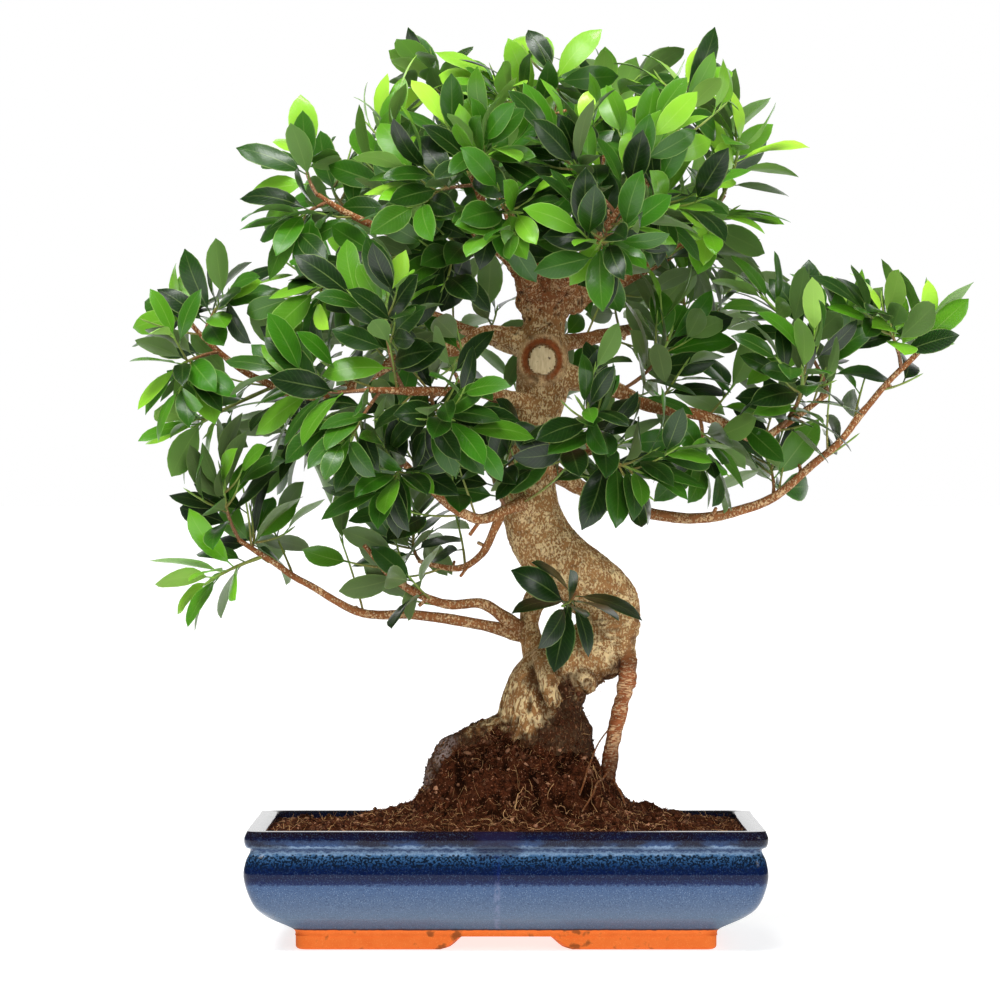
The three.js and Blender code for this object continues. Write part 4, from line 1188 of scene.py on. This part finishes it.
def make_limbs():
    """Every limb as a tapering skin with knuckles, a collar at its foot and stubs of cut twigs."""
    parts = Parts()
    for number, rows in enumerate(LIMBS.values()):
        curve = limb_curve(rows, 2.6)
        share = np.linspace(0, 1, len(curve))
        knuckles = 1 + 0.14 * np.clip(noise(curve[:, :3], 17.0, 60 + number), 0, 1) ** 1.5
        collar = 1 + 0.22 * bell(share * length_of(rows), 0, 26)
        bend = np.column_stack([noise(curve[:, :3], 24.0, 80 + number + k) for k in range(3)])
        curve[:, :3] += 1.1 * bend * smoothstep(0, 0.12, share)[:, None]
        curve[:, 3] *= knuckles * collar
        rings = tube_rings(curve, LIMB_SIDES)
        flat = rings.reshape(-1, 3)
        middle, thick = (np.repeat(part, LIMB_SIDES, axis=0) for part in (curve[:, :3], curve[:, 3:]))
        rough = 0.16 * noise(flat, 3.0, 90) + 0.22 * noise(flat, 7.0, 91)
        flat = flat + (flat - middle) / thick * rough[:, None]
        age = np.concatenate([np.repeat(share, LIMB_SIDES), [0, 1]])
        # Painted shade at the foot of each limb, where it meets the trunk
        crease = 0.3 * smoothstep(0.2, 0, age)
        parts.add(*loft(flat.reshape(rings.shape)), red=0.55 + 0.3 * age, crease=crease)
        add_stubs(parts, curve, number)
    place(parts.make("limbs_bark", [BARK]), "bark", "trunk_and_limbs")


def add_stubs(parts, curve, number):
    """Short bare ends of twigs that were cut back, along a limb."""
    for k in range(3):
        i = int((0.35 + 0.22 * k + 0.1 * draw(number, "stub_place", k)) * (len(curve) - 2))
        centre, r = curve[i, :3], curve[i, 3]
        along = unit(curve[i + 1, :3] - centre)
        way = unit(around(along, 2 * math.pi * draw(number, "stub_turn", k)) + 0.5 * along)
        reach = r + 5 + 9 * draw(number, "stub_reach", k)
        path = centre + np.outer([0, 0.5, 0.96, 1.0], way) * reach
        parts.tube(path, min(0.45 * r, 1.7) * np.array([1.3, 1.0, 1.05, 0.7]), 7, red=0.7)


# Sprays

def limb_marks(rows):
    """Even places along the straight pieces of a limb in the solids, and along its true curve."""
    steps = max(4, round(length_of(rows) / LIMB_STEP))
    samples = walk(rows, steps)[:, :3]
    marks = []
    for k in range(steps * MARKS + 1):
        i = min(k // MARKS, steps - 1)
        marks.append(samples[i] + (samples[i + 1] - samples[i]) * (k / MARKS - i))
    return np.array(marks), walk(rows, steps * MARKS)[:, :3]


LIMB_MARKS = [limb_marks(rows) for rows in LIMBS.values()]


def origin_of(tip, taken):
    """The point that a spray grows from, by the same rule as in the solids."""
    best = (1e9, None, 0)
    for marks, curve in LIMB_MARKS:
        distances = np.linalg.norm(marks - tip, axis=1)
        distances[:FIRST_MARK] = 1e9
        i = int(distances.argmin())
        if distances[i] < best[0]:
            best = (distances[i], (marks, curve), i)
    distance, (marks, curve), i = best
    if i < len(marks) - 1:
        back = SET_BACK * distance
        while i > FIRST_MARK and back > 0:
            back -= np.linalg.norm(marks[i] - marks[i - 1])
            i -= 1
    while i > FIRST_MARK and any(np.linalg.norm(p - marks[i]) < BUD_SPACING for p in taken):
        i -= 1
    taken.append(marks[i])
    a, b = marks[max(0, i - 1)], marks[min(len(marks) - 1, i + 1)]
    return curve[i], unit(b - a)


class Shoot:
    """A shoot bends in one plane, from a past b to c."""

    def __init__(self, a, b, c, radius):
        self.a, self.b, self.c, self.radius = a, b, c, radius
        self.normal = unit(np.cross(b - a, c - a))

    def at(self, t):
        return self.a * (1 - t) ** 2 + self.b * 2 * t * (1 - t) + self.c * t ** 2

    def tangent(self, t):
        return unit((self.b - self.a) * (1 - t) + (self.c - self.b) * t)

    def lean(self, t, opening, turn):
        """The way that leans out from the shoot by an opening angle, turned round it."""
        axis = self.tangent(t)
        v = np.cross(axis, self.normal)
        return (axis * math.cos(opening) + self.normal * math.sin(opening) * math.cos(turn)
                + v * math.sin(opening) * math.sin(turn))


def outward(p):
    return unit(np.array([p[0] - CROWN_X, p[1], 0.0]))


# Degrees by which leaves open from a leading shoot's foot, how much less at its end, and their spread
OPENING, CLOSING, OPENING_SPREAD = 70, 40, 16
# How much leaves rise on leading shoots and, higher up, on short ones
RISE, SHORT_RISE, SHORT_RISE_Z = 0.1, 0.35, (450, 700)


def leaf_plan(seed, n, shoot, t, share, extra=0.0, small=1.0, leading=True):
    """Where leaf n of a shoot stands and how it is turned: a leading shoot's as in the solids."""
    turn = math.pi / 3 + n * RANK + 0.4 * (draw(seed, "turn", n) - 0.5) + extra
    spread = OPENING_SPREAD * (draw(seed, "opening", n) - 0.5)
    opening = math.radians(OPENING - CLOSING * share + spread)
    out = outward(shoot.a)
    rise = RISE if leading else RISE + SHORT_RISE * smoothstep(*SHORT_RISE_Z, shoot.a[2])
    d = unit(shoot.lean(t, opening, turn) + rise * UP + 0.18 * out)
    jitter = np.array([draw(seed, kind, n) for kind in ("jitter_x", "jitter_y", "jitter_z")]) - 0.5
    towards_front, loose = (0.4, 1.4) if leading else (0.1, 2.0)
    facing = UP * (0.4 + 0.5 * draw(seed, "facing", n)) + 0.7 * out + towards_front * FRONT + loose * jitter
    side = unit(np.cross(d, facing))
    length = between(BLADE, draw(seed, "length", n)) * small
    return {
        "p": shoot.at(t), "d": d, "side": side, "n": unit(np.cross(side, d)), "length": length,
        "wide": length * BLADE_WIDE * (0.9 + 0.2 * draw(seed, "width", n)),
        "arch": 0.25 + 0.45 * draw(seed, "arch", n), "petiole": PETIOLE * small, "draws": (seed, n),
    }


# Where short shoots stand on a leading one, how long they are, where their leaves stand, their radius
# and which seeds those of a leading shoot use
SIDE_SHOOTS = (0.4, 0.52, 0.64, 0.76, 0.88)
SIDE_LENGTH = (24.0, 44.0)
SIDE_LEAVES = (0.4, 0.64, 0.84, LAST_LEAF)
SIDE_R = 1.25
SIDE_SEEDS = 200
# How much smaller a fresh leaf is than a grown one
FRESH_SMALLER = 0.22


def side_shoot(a, d, length, seed):
    """A short shoot from a that starts along d and then rises, and the leaves that may stand on it."""
    b = a + d * 0.5 * length
    c = a + d * 0.88 * length + UP * 0.16 * length + outward(a) * 0.1 * length
    last = len(SIDE_LEAVES) - 1
    leaves = []
    for k, t in reversed(list(enumerate(SIDE_LEAVES))):
        fresh = 0.25 * draw(seed, "end_age") + 0.65 * (draw(seed, "end_fresh") > 0.7)
        age = fresh if k == last else 0.0
        leaves.append((seed, k, t, 0.35 + 0.65 * k / last, age, 0.94 - FRESH_SMALLER * age))
    return Shoot(a, b, c, SIDE_R), leaves


def spray_plan(spray, taken):
    """The shoots of a spray, each with the leaves that may stand on it."""
    tip = np.array(SPRAY_TIPS[spray], float)
    origin, along = TRUNK_BUD if spray == TRUNK_SHOOT else origin_of(tip, taken)
    reach = np.linalg.norm(tip - origin)
    knee = (origin + tip) / 2 + along * 0.16 * reach - UP * 0.08 * reach
    main = Shoot(origin, knee, tip, TWIG_R + 0.003 * reach)
    start = max(0.28, 1 - LEAFY_LENGTH / reach)
    leaves = []
    for k in reversed(range(LEAVES_TRIED)):
        share = k / (LEAVES_TRIED - 1)
        age = smoothstep(0.72, 1.0, share) * (0.25 + 0.55 * draw(spray, "age", k))
        leaves.append((spray, k, between((start, LAST_LEAF), share), share, age, 1 - FRESH_SMALLER * age))
    shoots = [(main, leaves)]
    if spray == TRUNK_SHOOT:
        return shoots
    for j, share in enumerate(SIDE_SHOOTS):
        t = between((start * 0.8, 1), share)
        d = main.lean(t, math.radians(48), j * RANK + math.pi * draw(spray, "first_turn") + 0.5)
        length = between(SIDE_LENGTH, draw(spray, "shoot_length", j))
        shoots.append(side_shoot(main.at(t), d, length, SIDE_SEEDS + 10 * spray + j))
    return shoots


# The share of a limb that is bare of short shoots, and how far apart they stand on the rest
BARE = {
    "low_left": 0.5, "low_left_upper": 0.5, "low_right": 0.42, "front_left": 0.4, "left_under": 0.6,
    "right": 0.26, "left": 0.22, "crown_top": 0.3, "crown_back": 0.15, "back_left": 0.15,
    "back_right": 0.15, "crown_right": 0.2}
BARE_USUALLY = 0.34
LIMB_SHOOT_STEP = 19.0
LIMB_SHOOT_LENGTH = (30.0, 68.0)
LIMB_SHOOT_SEEDS = 2000
GOLDEN_TURN = math.radians(137.5)
# Shoots from the feet of two limbs, whose leaves hang before the trunk: start, way and length
FRONT_SHOOTS = [
    ((12, -32, 395), (0.8, -0.5, 0.4), 62.0), ((45, -50, 438), (-0.9, -0.3, 0.25), 60.0),
    ((38, -34, 437), (-0.5, -0.6, -0.5), 54.0), ((20, -22, 398), (-0.3, -0.6, 0.8), 56.0),
    ((66, -84, 441), (-0.8, -0.1, -0.4), 52.0), ((8, -38, 393), (-0.5, -0.3, 0.9), 60.0)]
FRONT_SHOOT_SEEDS = 3400


def limb_shoots():
    """Short leafy shoots along every limb, each with the middle of its leaves."""
    made = []
    for number, (start, way, length) in enumerate(FRONT_SHOOTS):
        start, way = np.array(start, float), unit(np.array(way))
        made.append((side_shoot(start, way, length, FRONT_SHOOT_SEEDS + number), start + way * length))
    for number, (name, rows) in enumerate(LIMBS.items()):
        curve = limb_curve(rows, LIMB_SHOOT_STEP)[:, :3]
        first = int(BARE.get(name, BARE_USUALLY) * len(curve))
        for i in range(max(first, 1), len(curve) - 1):
            seed = LIMB_SHOOT_SEEDS + 50 * number + i
            along = unit(curve[i + 1] - curve[i - 1])
            way = around(along, i * GOLDEN_TURN + number)
            d = unit(way + 0.45 * along + 0.45 * UP + 0.2 * outward(curve[i]))
            length = between(LIMB_SHOOT_LENGTH, draw(seed, "limb_shoot"))
            made.append((side_shoot(curve[i], d, length, seed), curve[i] + d * length))
    return made


# A blade's outline: half width at each share of its length. Its stalk's rings come before it.
OUTLINE = (
    (0.0, 0.07), (0.06, 0.28), (0.15, 0.58), (0.28, 0.86), (0.44, 1.0), (0.6, 0.98), (0.75, 0.82),
    (0.87, 0.52), (0.95, 0.2), (1.0, 0.03))


STEM_SHARES = (0.0, 0.6)
# A ring's points from the left edge over the top and back beneath: across the blade, and through it
RING_U = np.array([-1.0, -0.5, 0.0, 0.5, 1.0, 0.5, 0.0, -0.5])
RING_TOP = np.array([0.0, 1.0, 1.0, 1.0, 0.0, -1.0, -1.0, -1.0])
STEM_ANGLES = np.radians([180, 135, 90, 45, 0, -45, -90, -135])
BLADE_THICK = 0.6
KEEL = 0.55
STEM_R = 0.75


def build_leaves(leaves):
    """The rings of many leaves at once: arched, folded and a little twisted blades on stalks."""
    def of_each(key):
        return np.array([leaf[key] for leaf in leaves])

    def drawn(kind):
        return np.array([draw(leaf["draws"][0], kind, leaf["draws"][1]) for leaf in leaves])

    def deep(values):
        return values[:, None, None]

    p, d, side, normal = of_each("p"), of_each("d"), of_each("side"), of_each("n")
    length, wide, arch, petiole = of_each("length"), of_each("wide"), of_each("arch"), of_each("petiole")
    fold = np.radians(6 + 20 * drawn("fold"))
    twist = 0.5 * (drawn("twist") - 0.5)
    wave, phase = deep(0.9 * drawn("wave")), deep(2 * math.pi * drawn("phase"))
    hook = 0.35 * drawn("hook")
    circle = (np.cos(STEM_ANGLES)[None, :, None] * side[:, None]
              + np.sin(STEM_ANGLES)[None, :, None] * normal[:, None])
    rings = []
    for share in STEM_SHARES:
        centre = p + d * (share * petiole)[:, None]
        rings.append(centre[:, None] + STEM_R * (1 - 0.2 * share) * circle)
    centre, last = p + d * petiole[:, None], 0.0
    u, top = RING_U[None, :, None], RING_TOP[None, :, None]
    for s, half in OUTLINE:
        middle = (s + last) / 2
        angle = (arch * middle + hook * middle ** 3)[:, None]
        centre = centre + (d * np.cos(angle) - normal * np.sin(angle)) * (length * (s - last))[:, None]
        last = s
        angle = (arch * s + hook * s ** 3)[:, None]
        lift = normal * np.cos(angle) + d * np.sin(angle)
        roll = (twist * s)[:, None]
        sideways = (side * np.cos(roll) + lift * np.sin(roll))[:, None]
        above = (lift * np.cos(roll) - side * np.sin(roll))[:, None]
        reach = deep(0.5 * wide * half)
        tilt = deep(fold * (1 - 0.45 * s))
        bowl = np.abs(u) * np.sin(tilt) - 0.16 * u ** 2
        ripple = wave * np.sin(9 * s + phase + 1.6 * u) * u ** 2 * min(1, 3 * half)
        thick = BLADE_THICK * (0.3 + 0.7 * half) * top / 2
        keel = np.where((u == 0) & (top < 0), -KEEL * (1 - 0.8 * s), 0.0)
        rings.append(centre[:, None] + sideways * (u * np.cos(tilt) * reach)
                     + above * (bowl * reach + ripple + thick + keel))
    along = [0.0] * len(STEM_SHARES) + [s for s, _ in OUTLINE]
    return np.stack(rings, axis=1), np.array(along)


def split_alike(quads, columns):
    """Triangles whose diagonals lie above each other on both faces of a blade, which so never cross."""
    upper = quads[:, :1] % columns < columns // 2
    first = np.where(upper, quads[:, [0, 1, 2]], quads[:, [0, 1, 3]])
    second = np.where(upper, quads[:, [0, 2, 3]], quads[:, [1, 2, 3]])
    return np.concatenate([first, second])


def add_leaves(parts, leaves):
    rings, along = build_leaves(leaves)
    rows, columns = rings.shape[1:3]
    blade = (np.arange(rows) >= len(STEM_SHARES))[:, None]
    u = np.where(blade, RING_U[None, :], 0.0)
    under = np.where(blade, (1 - RING_TOP[None, :]) / 2, 0.0)
    v = np.broadcast_to(along[:, None], (rows, columns))
    ends = rows * columns
    faces = split_alike(grid_quads(rows, columns), columns)
    triangles = np.concatenate([faces, fan(0, columns, ends), fan(ends - columns, columns, ends + 1)])
    for leaf, made in zip(leaves, rings):
        points = np.concatenate([made.reshape(-1, 3), [made[0].mean(axis=0), made[-1].mean(axis=0)]])
        parts.add(
            points, triangles=triangles, leaf_u=np.append(u, [0, 0]), leaf_v=np.append(v, [0, 1]),
            under=np.append(under, [0, 0]), age=leaf["age"], tone=leaf["tone"])


# A coarse blade, which shows whether a leaf would cross another: half width at shares of its length,
# its faces, and which of its points is in the middle
TEST_SHARES = ((0.0, 0.12), (0.25, 0.85), (0.55, 1.05), (0.82, 0.75), (1.04, 0.05))
TEST_FACES = [
    (3 * i + j, 3 * i + j + 1, 3 * i + j + 4, 3 * i + j + 3)
    for i in range(len(TEST_SHARES) - 1) for j in (0, 1)]
TEST_MIDDLE = 7
WOOD_CLEARANCE = 3.0
SOIL_TOP = 125.0
CROWN_MARGIN = 5.0
CROWN_LOW = np.array(cad_box[0]) / MM - POT_MIDDLE / MM - CROWN_MARGIN
CROWN_HIGH = np.array(cad_box[1]) / MM - POT_MIDDLE / MM + CROWN_MARGIN
# The trunk's front that stays in sight: lowest and highest x and z
SCAR_VIEW = ((10.0, 478.0), (66.0, 582.0))
# How far the short shoots' leaves reach, seen from the front: x and z, from the lowest limb's end clockwise
CROWN = np.array([
    (-237, 353), (-259, 374), (-288, 392), (-317, 415), (-324, 449), (-331, 479), (-311, 492),
    (-329, 514), (-357, 536), (-324, 567), (-348, 598), (-313, 596), (-308, 621), (-279, 633),
    (-253, 616), (-235, 630), (-246, 685), (-222, 679), (-202, 690), (-184, 685), (-180, 710),
    (-200, 721), (-222, 729), (-200, 738), (-202, 772), (-180, 776), (-180, 738), (-168, 721),
    (-148, 720), (-146, 763), (-147, 778), (-120, 802), (-122, 831), (-60, 838), (-46, 803), (-15, 818),
    (35, 838), (49, 812), (67, 833), (96, 831), (122, 802), (136, 818), (158, 836), (189, 811),
    (222, 803), (211, 765), (237, 749), (273, 727), (242, 709), (211, 692), (198, 679), (218, 679),
    (264, 672), (266, 654), (213, 647), (228, 627), (309, 618), (374, 628), (366, 596), (392, 572),
    (413, 583), (445, 568), (402, 536), (384, 501), (359, 508), (321, 465), (309, 437), (268, 397),
    (227, 388), (177, 379), (136, 372), (86, 370), (49, 392), (13, 379), (-6, 363), (-31, 308),
    (-60, 312), (-86, 272), (-98, 250), (-113, 272), (-148, 277), (-160, 304), (-204, 317), (-222, 312),
    (-231, 333)], float)
# Half of the short shoots' leaves keep further in: they would still be inside the outline at this many
# times their way from the crown's middle
CROWN_MIDDLE = np.array([20.0, 560.0])
KEEP_IN = 1.16
# Where the crown is thinner: middle and half size in x and z, and the share of leaves that goes
THIN = [
    ((-254, 557), (78, 72), 0.52), ((-250, 372), (92, 34), 0.58), ((-286, 444), (46, 44), 0.45),
    ((153, 700), (34, 66), 0.42), ((153, 560), (30, 74), 0.38), ((150, 430), (34, 40), 0.45),
    ((-208, 693), (26, 26), 0.6), ((-142, 738), (42, 28), 0.4), ((240, 421), (30, 26), 0.6),
    ((322, 509), (28, 28), 0.6), ((-30, 515), (34, 66), 0.42), ((-112, 374), (62, 30), 0.42),
    ((-120, 500), (60, 60), 0.25)]


def test_blade(leaf):
    """The points of a coarse blade, three at each share of its length."""
    made = []
    for s, half in TEST_SHARES:
        fall = leaf["arch"] * s
        middle = (leaf["p"] + leaf["d"] * (leaf["petiole"] + s * leaf["length"] * math.cos(fall / 2))
                  - leaf["n"] * s * leaf["length"] * math.sin(fall / 2))
        edge = leaf["side"] * half * leaf["wide"] / 2
        rise = leaf["n"] * 0.15 * half * leaf["wide"] / 2
        made += [middle - edge + rise, middle, middle + edge + rise]
    return np.array(made)


def from_front(points):
    """The x and z of points as the camera sees them, on the plane through the pot's middle."""
    eye = np.array([CAMERA[0], CAMERA[2]])
    shrink = CAMERA[1] / (CAMERA[1] - points[:, 1:2])
    return eye + (points[:, [0, 2]] - eye) * shrink


def too_full(seen, chance):
    """Whether a leaf goes because the crown is thinner where it would be seen."""
    x, z = seen.mean(axis=0)
    return any(np.hypot((x - at[0]) / half[0], (z - at[1]) / half[1]) < 1 and chance < share
               for at, half, share in THIN)


def hides_scar(seen):
    """Whether any of a leaf's points, seen from the front, lies before the healed cut."""
    return ((seen > SCAR_VIEW[0]) & (seen < SCAR_VIEW[1])).all(axis=1).any()


def in_crown(seen):
    """Whether all the points, seen from the front, lie inside the crown's outline."""
    a, b = CROWN, np.roll(CROWN, -1, axis=0)
    x, z = seen[:, :1], seen[:, 1:]
    spans = (a[:, 1] > z) != (b[:, 1] > z)
    rise = np.where(a[:, 1] == b[:, 1], 1.0, b[:, 1] - a[:, 1])
    crossings = spans & (x < a[:, 0] + (z - a[:, 1]) * (b[:, 0] - a[:, 0]) / rise)
    return (crossings.sum(axis=1) % 2 == 1).all()


class Crowd:
    """Keeps the leaves placed so far, so that a new one crosses neither them nor the wood."""

    def __init__(self):
        self.middles, self.trees = np.zeros((4096, 3)), []
        lines = [walk(rows, 60) for rows in (TRUNK, STRAND, AERIAL_ROOT, FRONT_ROOT, LEFT_ROOT)]
        lines += [limb_curve(rows, 6.0) for rows in LIMBS.values()]
        samples = np.concatenate(lines)
        self.thickness = samples[:, 3]
        self.wood = kdtree.KDTree(len(samples))
        for i, row in enumerate(samples):
            self.wood.insert(row[:3], i)
        self.wood.balance()

    def near_wood(self, points):
        """Whether any point but those at the foot of the blade is too near the wood."""
        for point in points[3:]:
            for _, index, distance in self.wood.find_n(point, 3):
                if distance < self.thickness[index] + WOOD_CLEARANCE:
                    return True
        return False

    def admit(self, leaf, leading):
        """Keeps a leaf if there is room for it, and says whether it does."""
        points = test_blade(leaf)
        seen = from_front(points)
        if (points < CROWN_LOW).any() or (points > CROWN_HIGH).any() or points[:, 2].min() < SOIL_TOP:
            return False
        if points[:, 1].mean() < 0 and hides_scar(seen) or self.near_wood(points):
            return False
        if not leading:
            seed, n = leaf["draws"]
            reach = 1.0 if draw(seed, "keep_in", n) < 0.5 else KEEP_IN
            inside = in_crown(CROWN_MIDDLE + (seen - CROWN_MIDDLE) * reach)
            if not inside or too_full(seen, draw(seed, "thin", n)):
                return False
        tree = BVHTree.FromPolygons([Vector(point) for point in points], TEST_FACES)
        count = len(self.trees)
        gaps = np.linalg.norm(self.middles[:count] - points[TEST_MIDDLE], axis=1)
        if any(tree.overlap(self.trees[i]) for i in np.flatnonzero(gaps < BLADE[1] + 8)):
            return False
        self.middles[count] = points[TEST_MIDDLE]
        self.trees.append(tree)
        return True


def make_sprays():
    """Every spray: its shoots, the leaves that find room on them, and a bud at each end."""
    taken = []
    plans = [spray_plan(spray, taken) for spray in range(len(SPRAY_TIPS))]
    tips = np.array(SPRAY_TIPS, float)[:TRUNK_SHOOT]
    for made, middle in limb_shoots():
        plans[int(np.linalg.norm(tips - middle, axis=1).argmin())].append(made)
    crowd = Crowd()
    chosen = [[] for _ in plans]
    for rank in range(max(len(shoots) for shoots in plans)):
        for spray, shoots in enumerate(plans):
            if rank < len(shoots):
                chosen[spray] += grow_leaves(crowd, spray, *shoots[rank], rank == 0)
    for spray, (shoots, leaves) in enumerate(zip(plans, chosen)):
        parts = Parts()
        add_leaves(parts, leaves)
        leafy = {leaf["draws"][0] for leaf in leaves}
        for number, (shoot, tried) in enumerate(shoots):
            if tried[0][0] in leafy:
                add_shoot(parts, shoot, number, spray)
        piece = parts.make(f"foliage_{spray:02d}", [LEAF, TWIG], sharp=70)
        place(piece, "young_leaf" if spray in YOUNG else "leaf", f"spray_{spray:02d}")


def grow_leaves(crowd, spray, shoot, plans, leading):
    """The leaves of one shoot that find room, turned a little further round it where they must be."""
    grown = []
    for seed, n, t, share, age, small in plans:
        for extra in (0.0, 0.8, -0.8, 1.6):
            leaf = leaf_plan(seed, n, shoot, t, share, extra, small, leading)
            if crowd.admit(leaf, leading):
                grown.append(dress(leaf, spray, age))
                break
    return grown


# Painted light on the leaves, how lit a leaf is painted: at the lowest, and how much more by height, by its
# way out and in the top
DARKEST = 0.17
LIT_BY_HEIGHT, LIT_LOW, LIT_RISE = 0.45, 400, 400
LIT_BY_SIDE, LIT_WIDE = 0.38, 300
LIT_ON_TOP, TOP_Z = 0.4, (650, 760)


def dress(leaf, spray, age):
    """Gives a leaf its colour: fresh on young sprays, and painted shade low down and near the trunk, painted
    light higher up and out at the sides.
    """
    seed, n = leaf["draws"]
    height = (leaf["p"][2] - LIT_LOW) / LIT_RISE
    lit = DARKEST + LIT_BY_HEIGHT * height + LIT_BY_SIDE * abs(leaf["p"][0] - CROWN_X) / LIT_WIDE
    lit = min(lit + LIT_ON_TOP * smoothstep(*TOP_Z, leaf["p"][2]), 1.0)
    # Painted shade: fewer fresh leaves where little light is painted, none on the shoot before the trunk
    age *= min(1.0, 1.5 * lit) * (spray != TRUNK_SHOOT)
    young = 0.42 + 0.55 * draw(seed, "youth", n) if spray in YOUNG and n > 1 else age
    young *= 0.55 if spray in HALF_GROWN else 1.0
    # Painted light: some well lit leaves turn paler, as if in the sun
    sunlit = 0.7 * lit * (draw(seed, "sunlit", n) < 0.5 * lit)
    leaf["age"] = max(young, sunlit + age)
    # Tone is painted light plus a random share; the shoot before the trunk is darkest, as painted shade
    tone = 0.8 * lit - 0.07 + 1.35 * (draw(seed, "tone", n) - 0.5)
    leaf["tone"] = 0.0 if spray == TRUNK_SHOOT else np.clip(tone, 0, 1) ** 1.5
    return leaf


# A bud: shares of its length, and its radius there for the end of its twig
BUD = np.array([(-0.06, 1.0), (0.18, 1.25), (0.45, 1.1), (0.75, 0.62), (1.0, 0.12)])
BUD_LENGTH = (8.0, 12.0)
# How much of its radius a twig loses by its end
TWIG_TAPER = 0.3


def add_shoot(parts, shoot, number, spray):
    """A twig that swells and thins a little along its way, and its pointed bud."""
    steps, sides = (14, 7) if number == 0 else (6, 6)
    share = np.linspace(0, 1, steps + 1)
    centre = np.array([shoot.at(t) for t in share])
    radius = shoot.radius * (1 - TWIG_TAPER * share) * (1 + 0.1 * np.sin(share * 23 + spray))
    green = smoothstep(0.45, 0.9, share) if number == 0 else 0.25 + 0.75 * share
    if spray in YOUNG:
        green = np.maximum(green, 0.6)
    green = np.append(np.repeat(green, sides), [green[0], 1.0])
    parts.tube(centre, radius, sides, material=1, green=green)
    size = between(BUD_LENGTH, draw(spray, "bud", number))
    path = shoot.at(1.0) + np.outer(BUD[:, 0] * size, shoot.tangent(1.0))
    parts.tube(path, BUD[:, 1] * shoot.radius * 0.62, sides, material=1, green=1.0)


# Stage, light and camera

ROOM_LIGHT = 0.1
# Far wide lamps that light the whole floor alike: where they shine from, and their strength
SUNS = {"key_sun": ((-0.3, -0.6, 1.0), 2.55), "fill_sun": ((0.25, -1.0, 0.3), 1.3)}
SUN_WIDTH = math.radians(24)
# Soft boxes and a card behind: place in metres, width, height and power
BOXES = {
    "left_box": ((-1.25, -1.1, 2.7), 1.1, 0.9, 26), "right_box": ((1.9, -1.2, 1.3), 0.7, 0.7, 6),
    "top_box": ((0.05, -0.25, 2.5), 1.0, 0.3, 16), "back_card": ((0.0, 2.4, 0.9), 3.0, 1.8, 17)}
LIT_MIDDLE = Vector((0, 0, 0.5))


def make_stage():
    """A white floor in a white room, which is dimmer to the lamps than to the eye."""
    bpy.ops.mesh.primitive_plane_add(size=600, location=(0, 0, -0.0004))
    floor = bpy.context.object
    floor.name = "floor"
    s = Shader("floor")
    s.set(Base_Color=(0.5, 0.5, 0.5, 1.0), Roughness=0.9, Specular_IOR_Level=0.0)
    s.set(Emission_Color=(1.0, 1.0, 1.0, 1.0), Emission_Strength=0.75)
    floor.data.materials.append(s.material)
    world = bpy.data.worlds.new("studio")
    world.use_nodes = True
    nodes, links = world.node_tree.nodes, world.node_tree.links
    path = nodes.new("ShaderNodeLightPath")
    bright = nodes.new("ShaderNodeMapRange")
    bright.inputs["To Min"].default_value = ROOM_LIGHT
    bright.inputs["To Max"].default_value = 1.0
    background = nodes["Background"].inputs
    background["Color"].default_value = (1.0, 1.0, 1.0, 1.0)
    links.new(path.outputs["Is Camera Ray"], bright.inputs["Value"])
    links.new(bright.outputs["Result"], background["Strength"])
    bpy.context.scene.world = world


def make_lights():
    for name, (location, wide, high, power) in BOXES.items():
        data = bpy.data.lights.new(name, "AREA")
        data.shape = "RECTANGLE"
        data.size, data.size_y = wide, high
        data.energy = power
        box = link(name, data)
        box.location = location
        box.rotation_euler = (LIT_MIDDLE - box.location).to_track_quat("-Z", "Y").to_euler()
    for name, (towards, strength) in SUNS.items():
        data = bpy.data.lights.new(name, "SUN")
        data.energy = strength
        data.angle = SUN_WIDTH
        sun = link(name, data)
        sun.visible_glossy = False
        sun.rotation_euler = Vector(towards).to_track_quat("Z", "Y").to_euler()


def make_camera():
    data = bpy.data.cameras.new("camera")
    data.lens = LENS
    data.sensor_width = 36.0
    data.clip_end = 1000.0
    camera = link("camera", data)
    camera.location = Vector(np.array(CAMERA) * MM + POT_MIDDLE)
    camera.rotation_euler = (math.pi / 2, 0, 0)
    bpy.context.scene.camera = camera


make_camera()
make_stage()
make_lights()
bpy.context.scene.view_settings.view_transform = "Standard"

GLAZE, CLAY, BARK, CUT_WOOD = glaze_material(), clay_material(), bark_material(), cut_material()
SOIL = soil_material("soil", (12, 4, 1), (68, 34, 20), (60, 32, 18))
CRUMB = soil_material("soil_crumb", (22, 10, 5), (94, 57, 39), (166, 122, 94))
FIBRE = soil_material("soil_fibre", (52, 24, 12), (116, 66, 38), (222, 176, 122))
LEAF, TWIG, SCREEN = leaf_material(), twig_material(), screen_material()

make_pot()
make_feet()
make_soil()
foot_points = make_trunk()
make_crumbs(foot_points)
make_fibres()
make_hairs(foot_points)
make_limbs()
make_sprays()
for screen in ("drain_screen_left", "drain_screen_right"):
    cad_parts[screen].data.materials.clear()
    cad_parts[screen].data.materials.append(SCREEN)
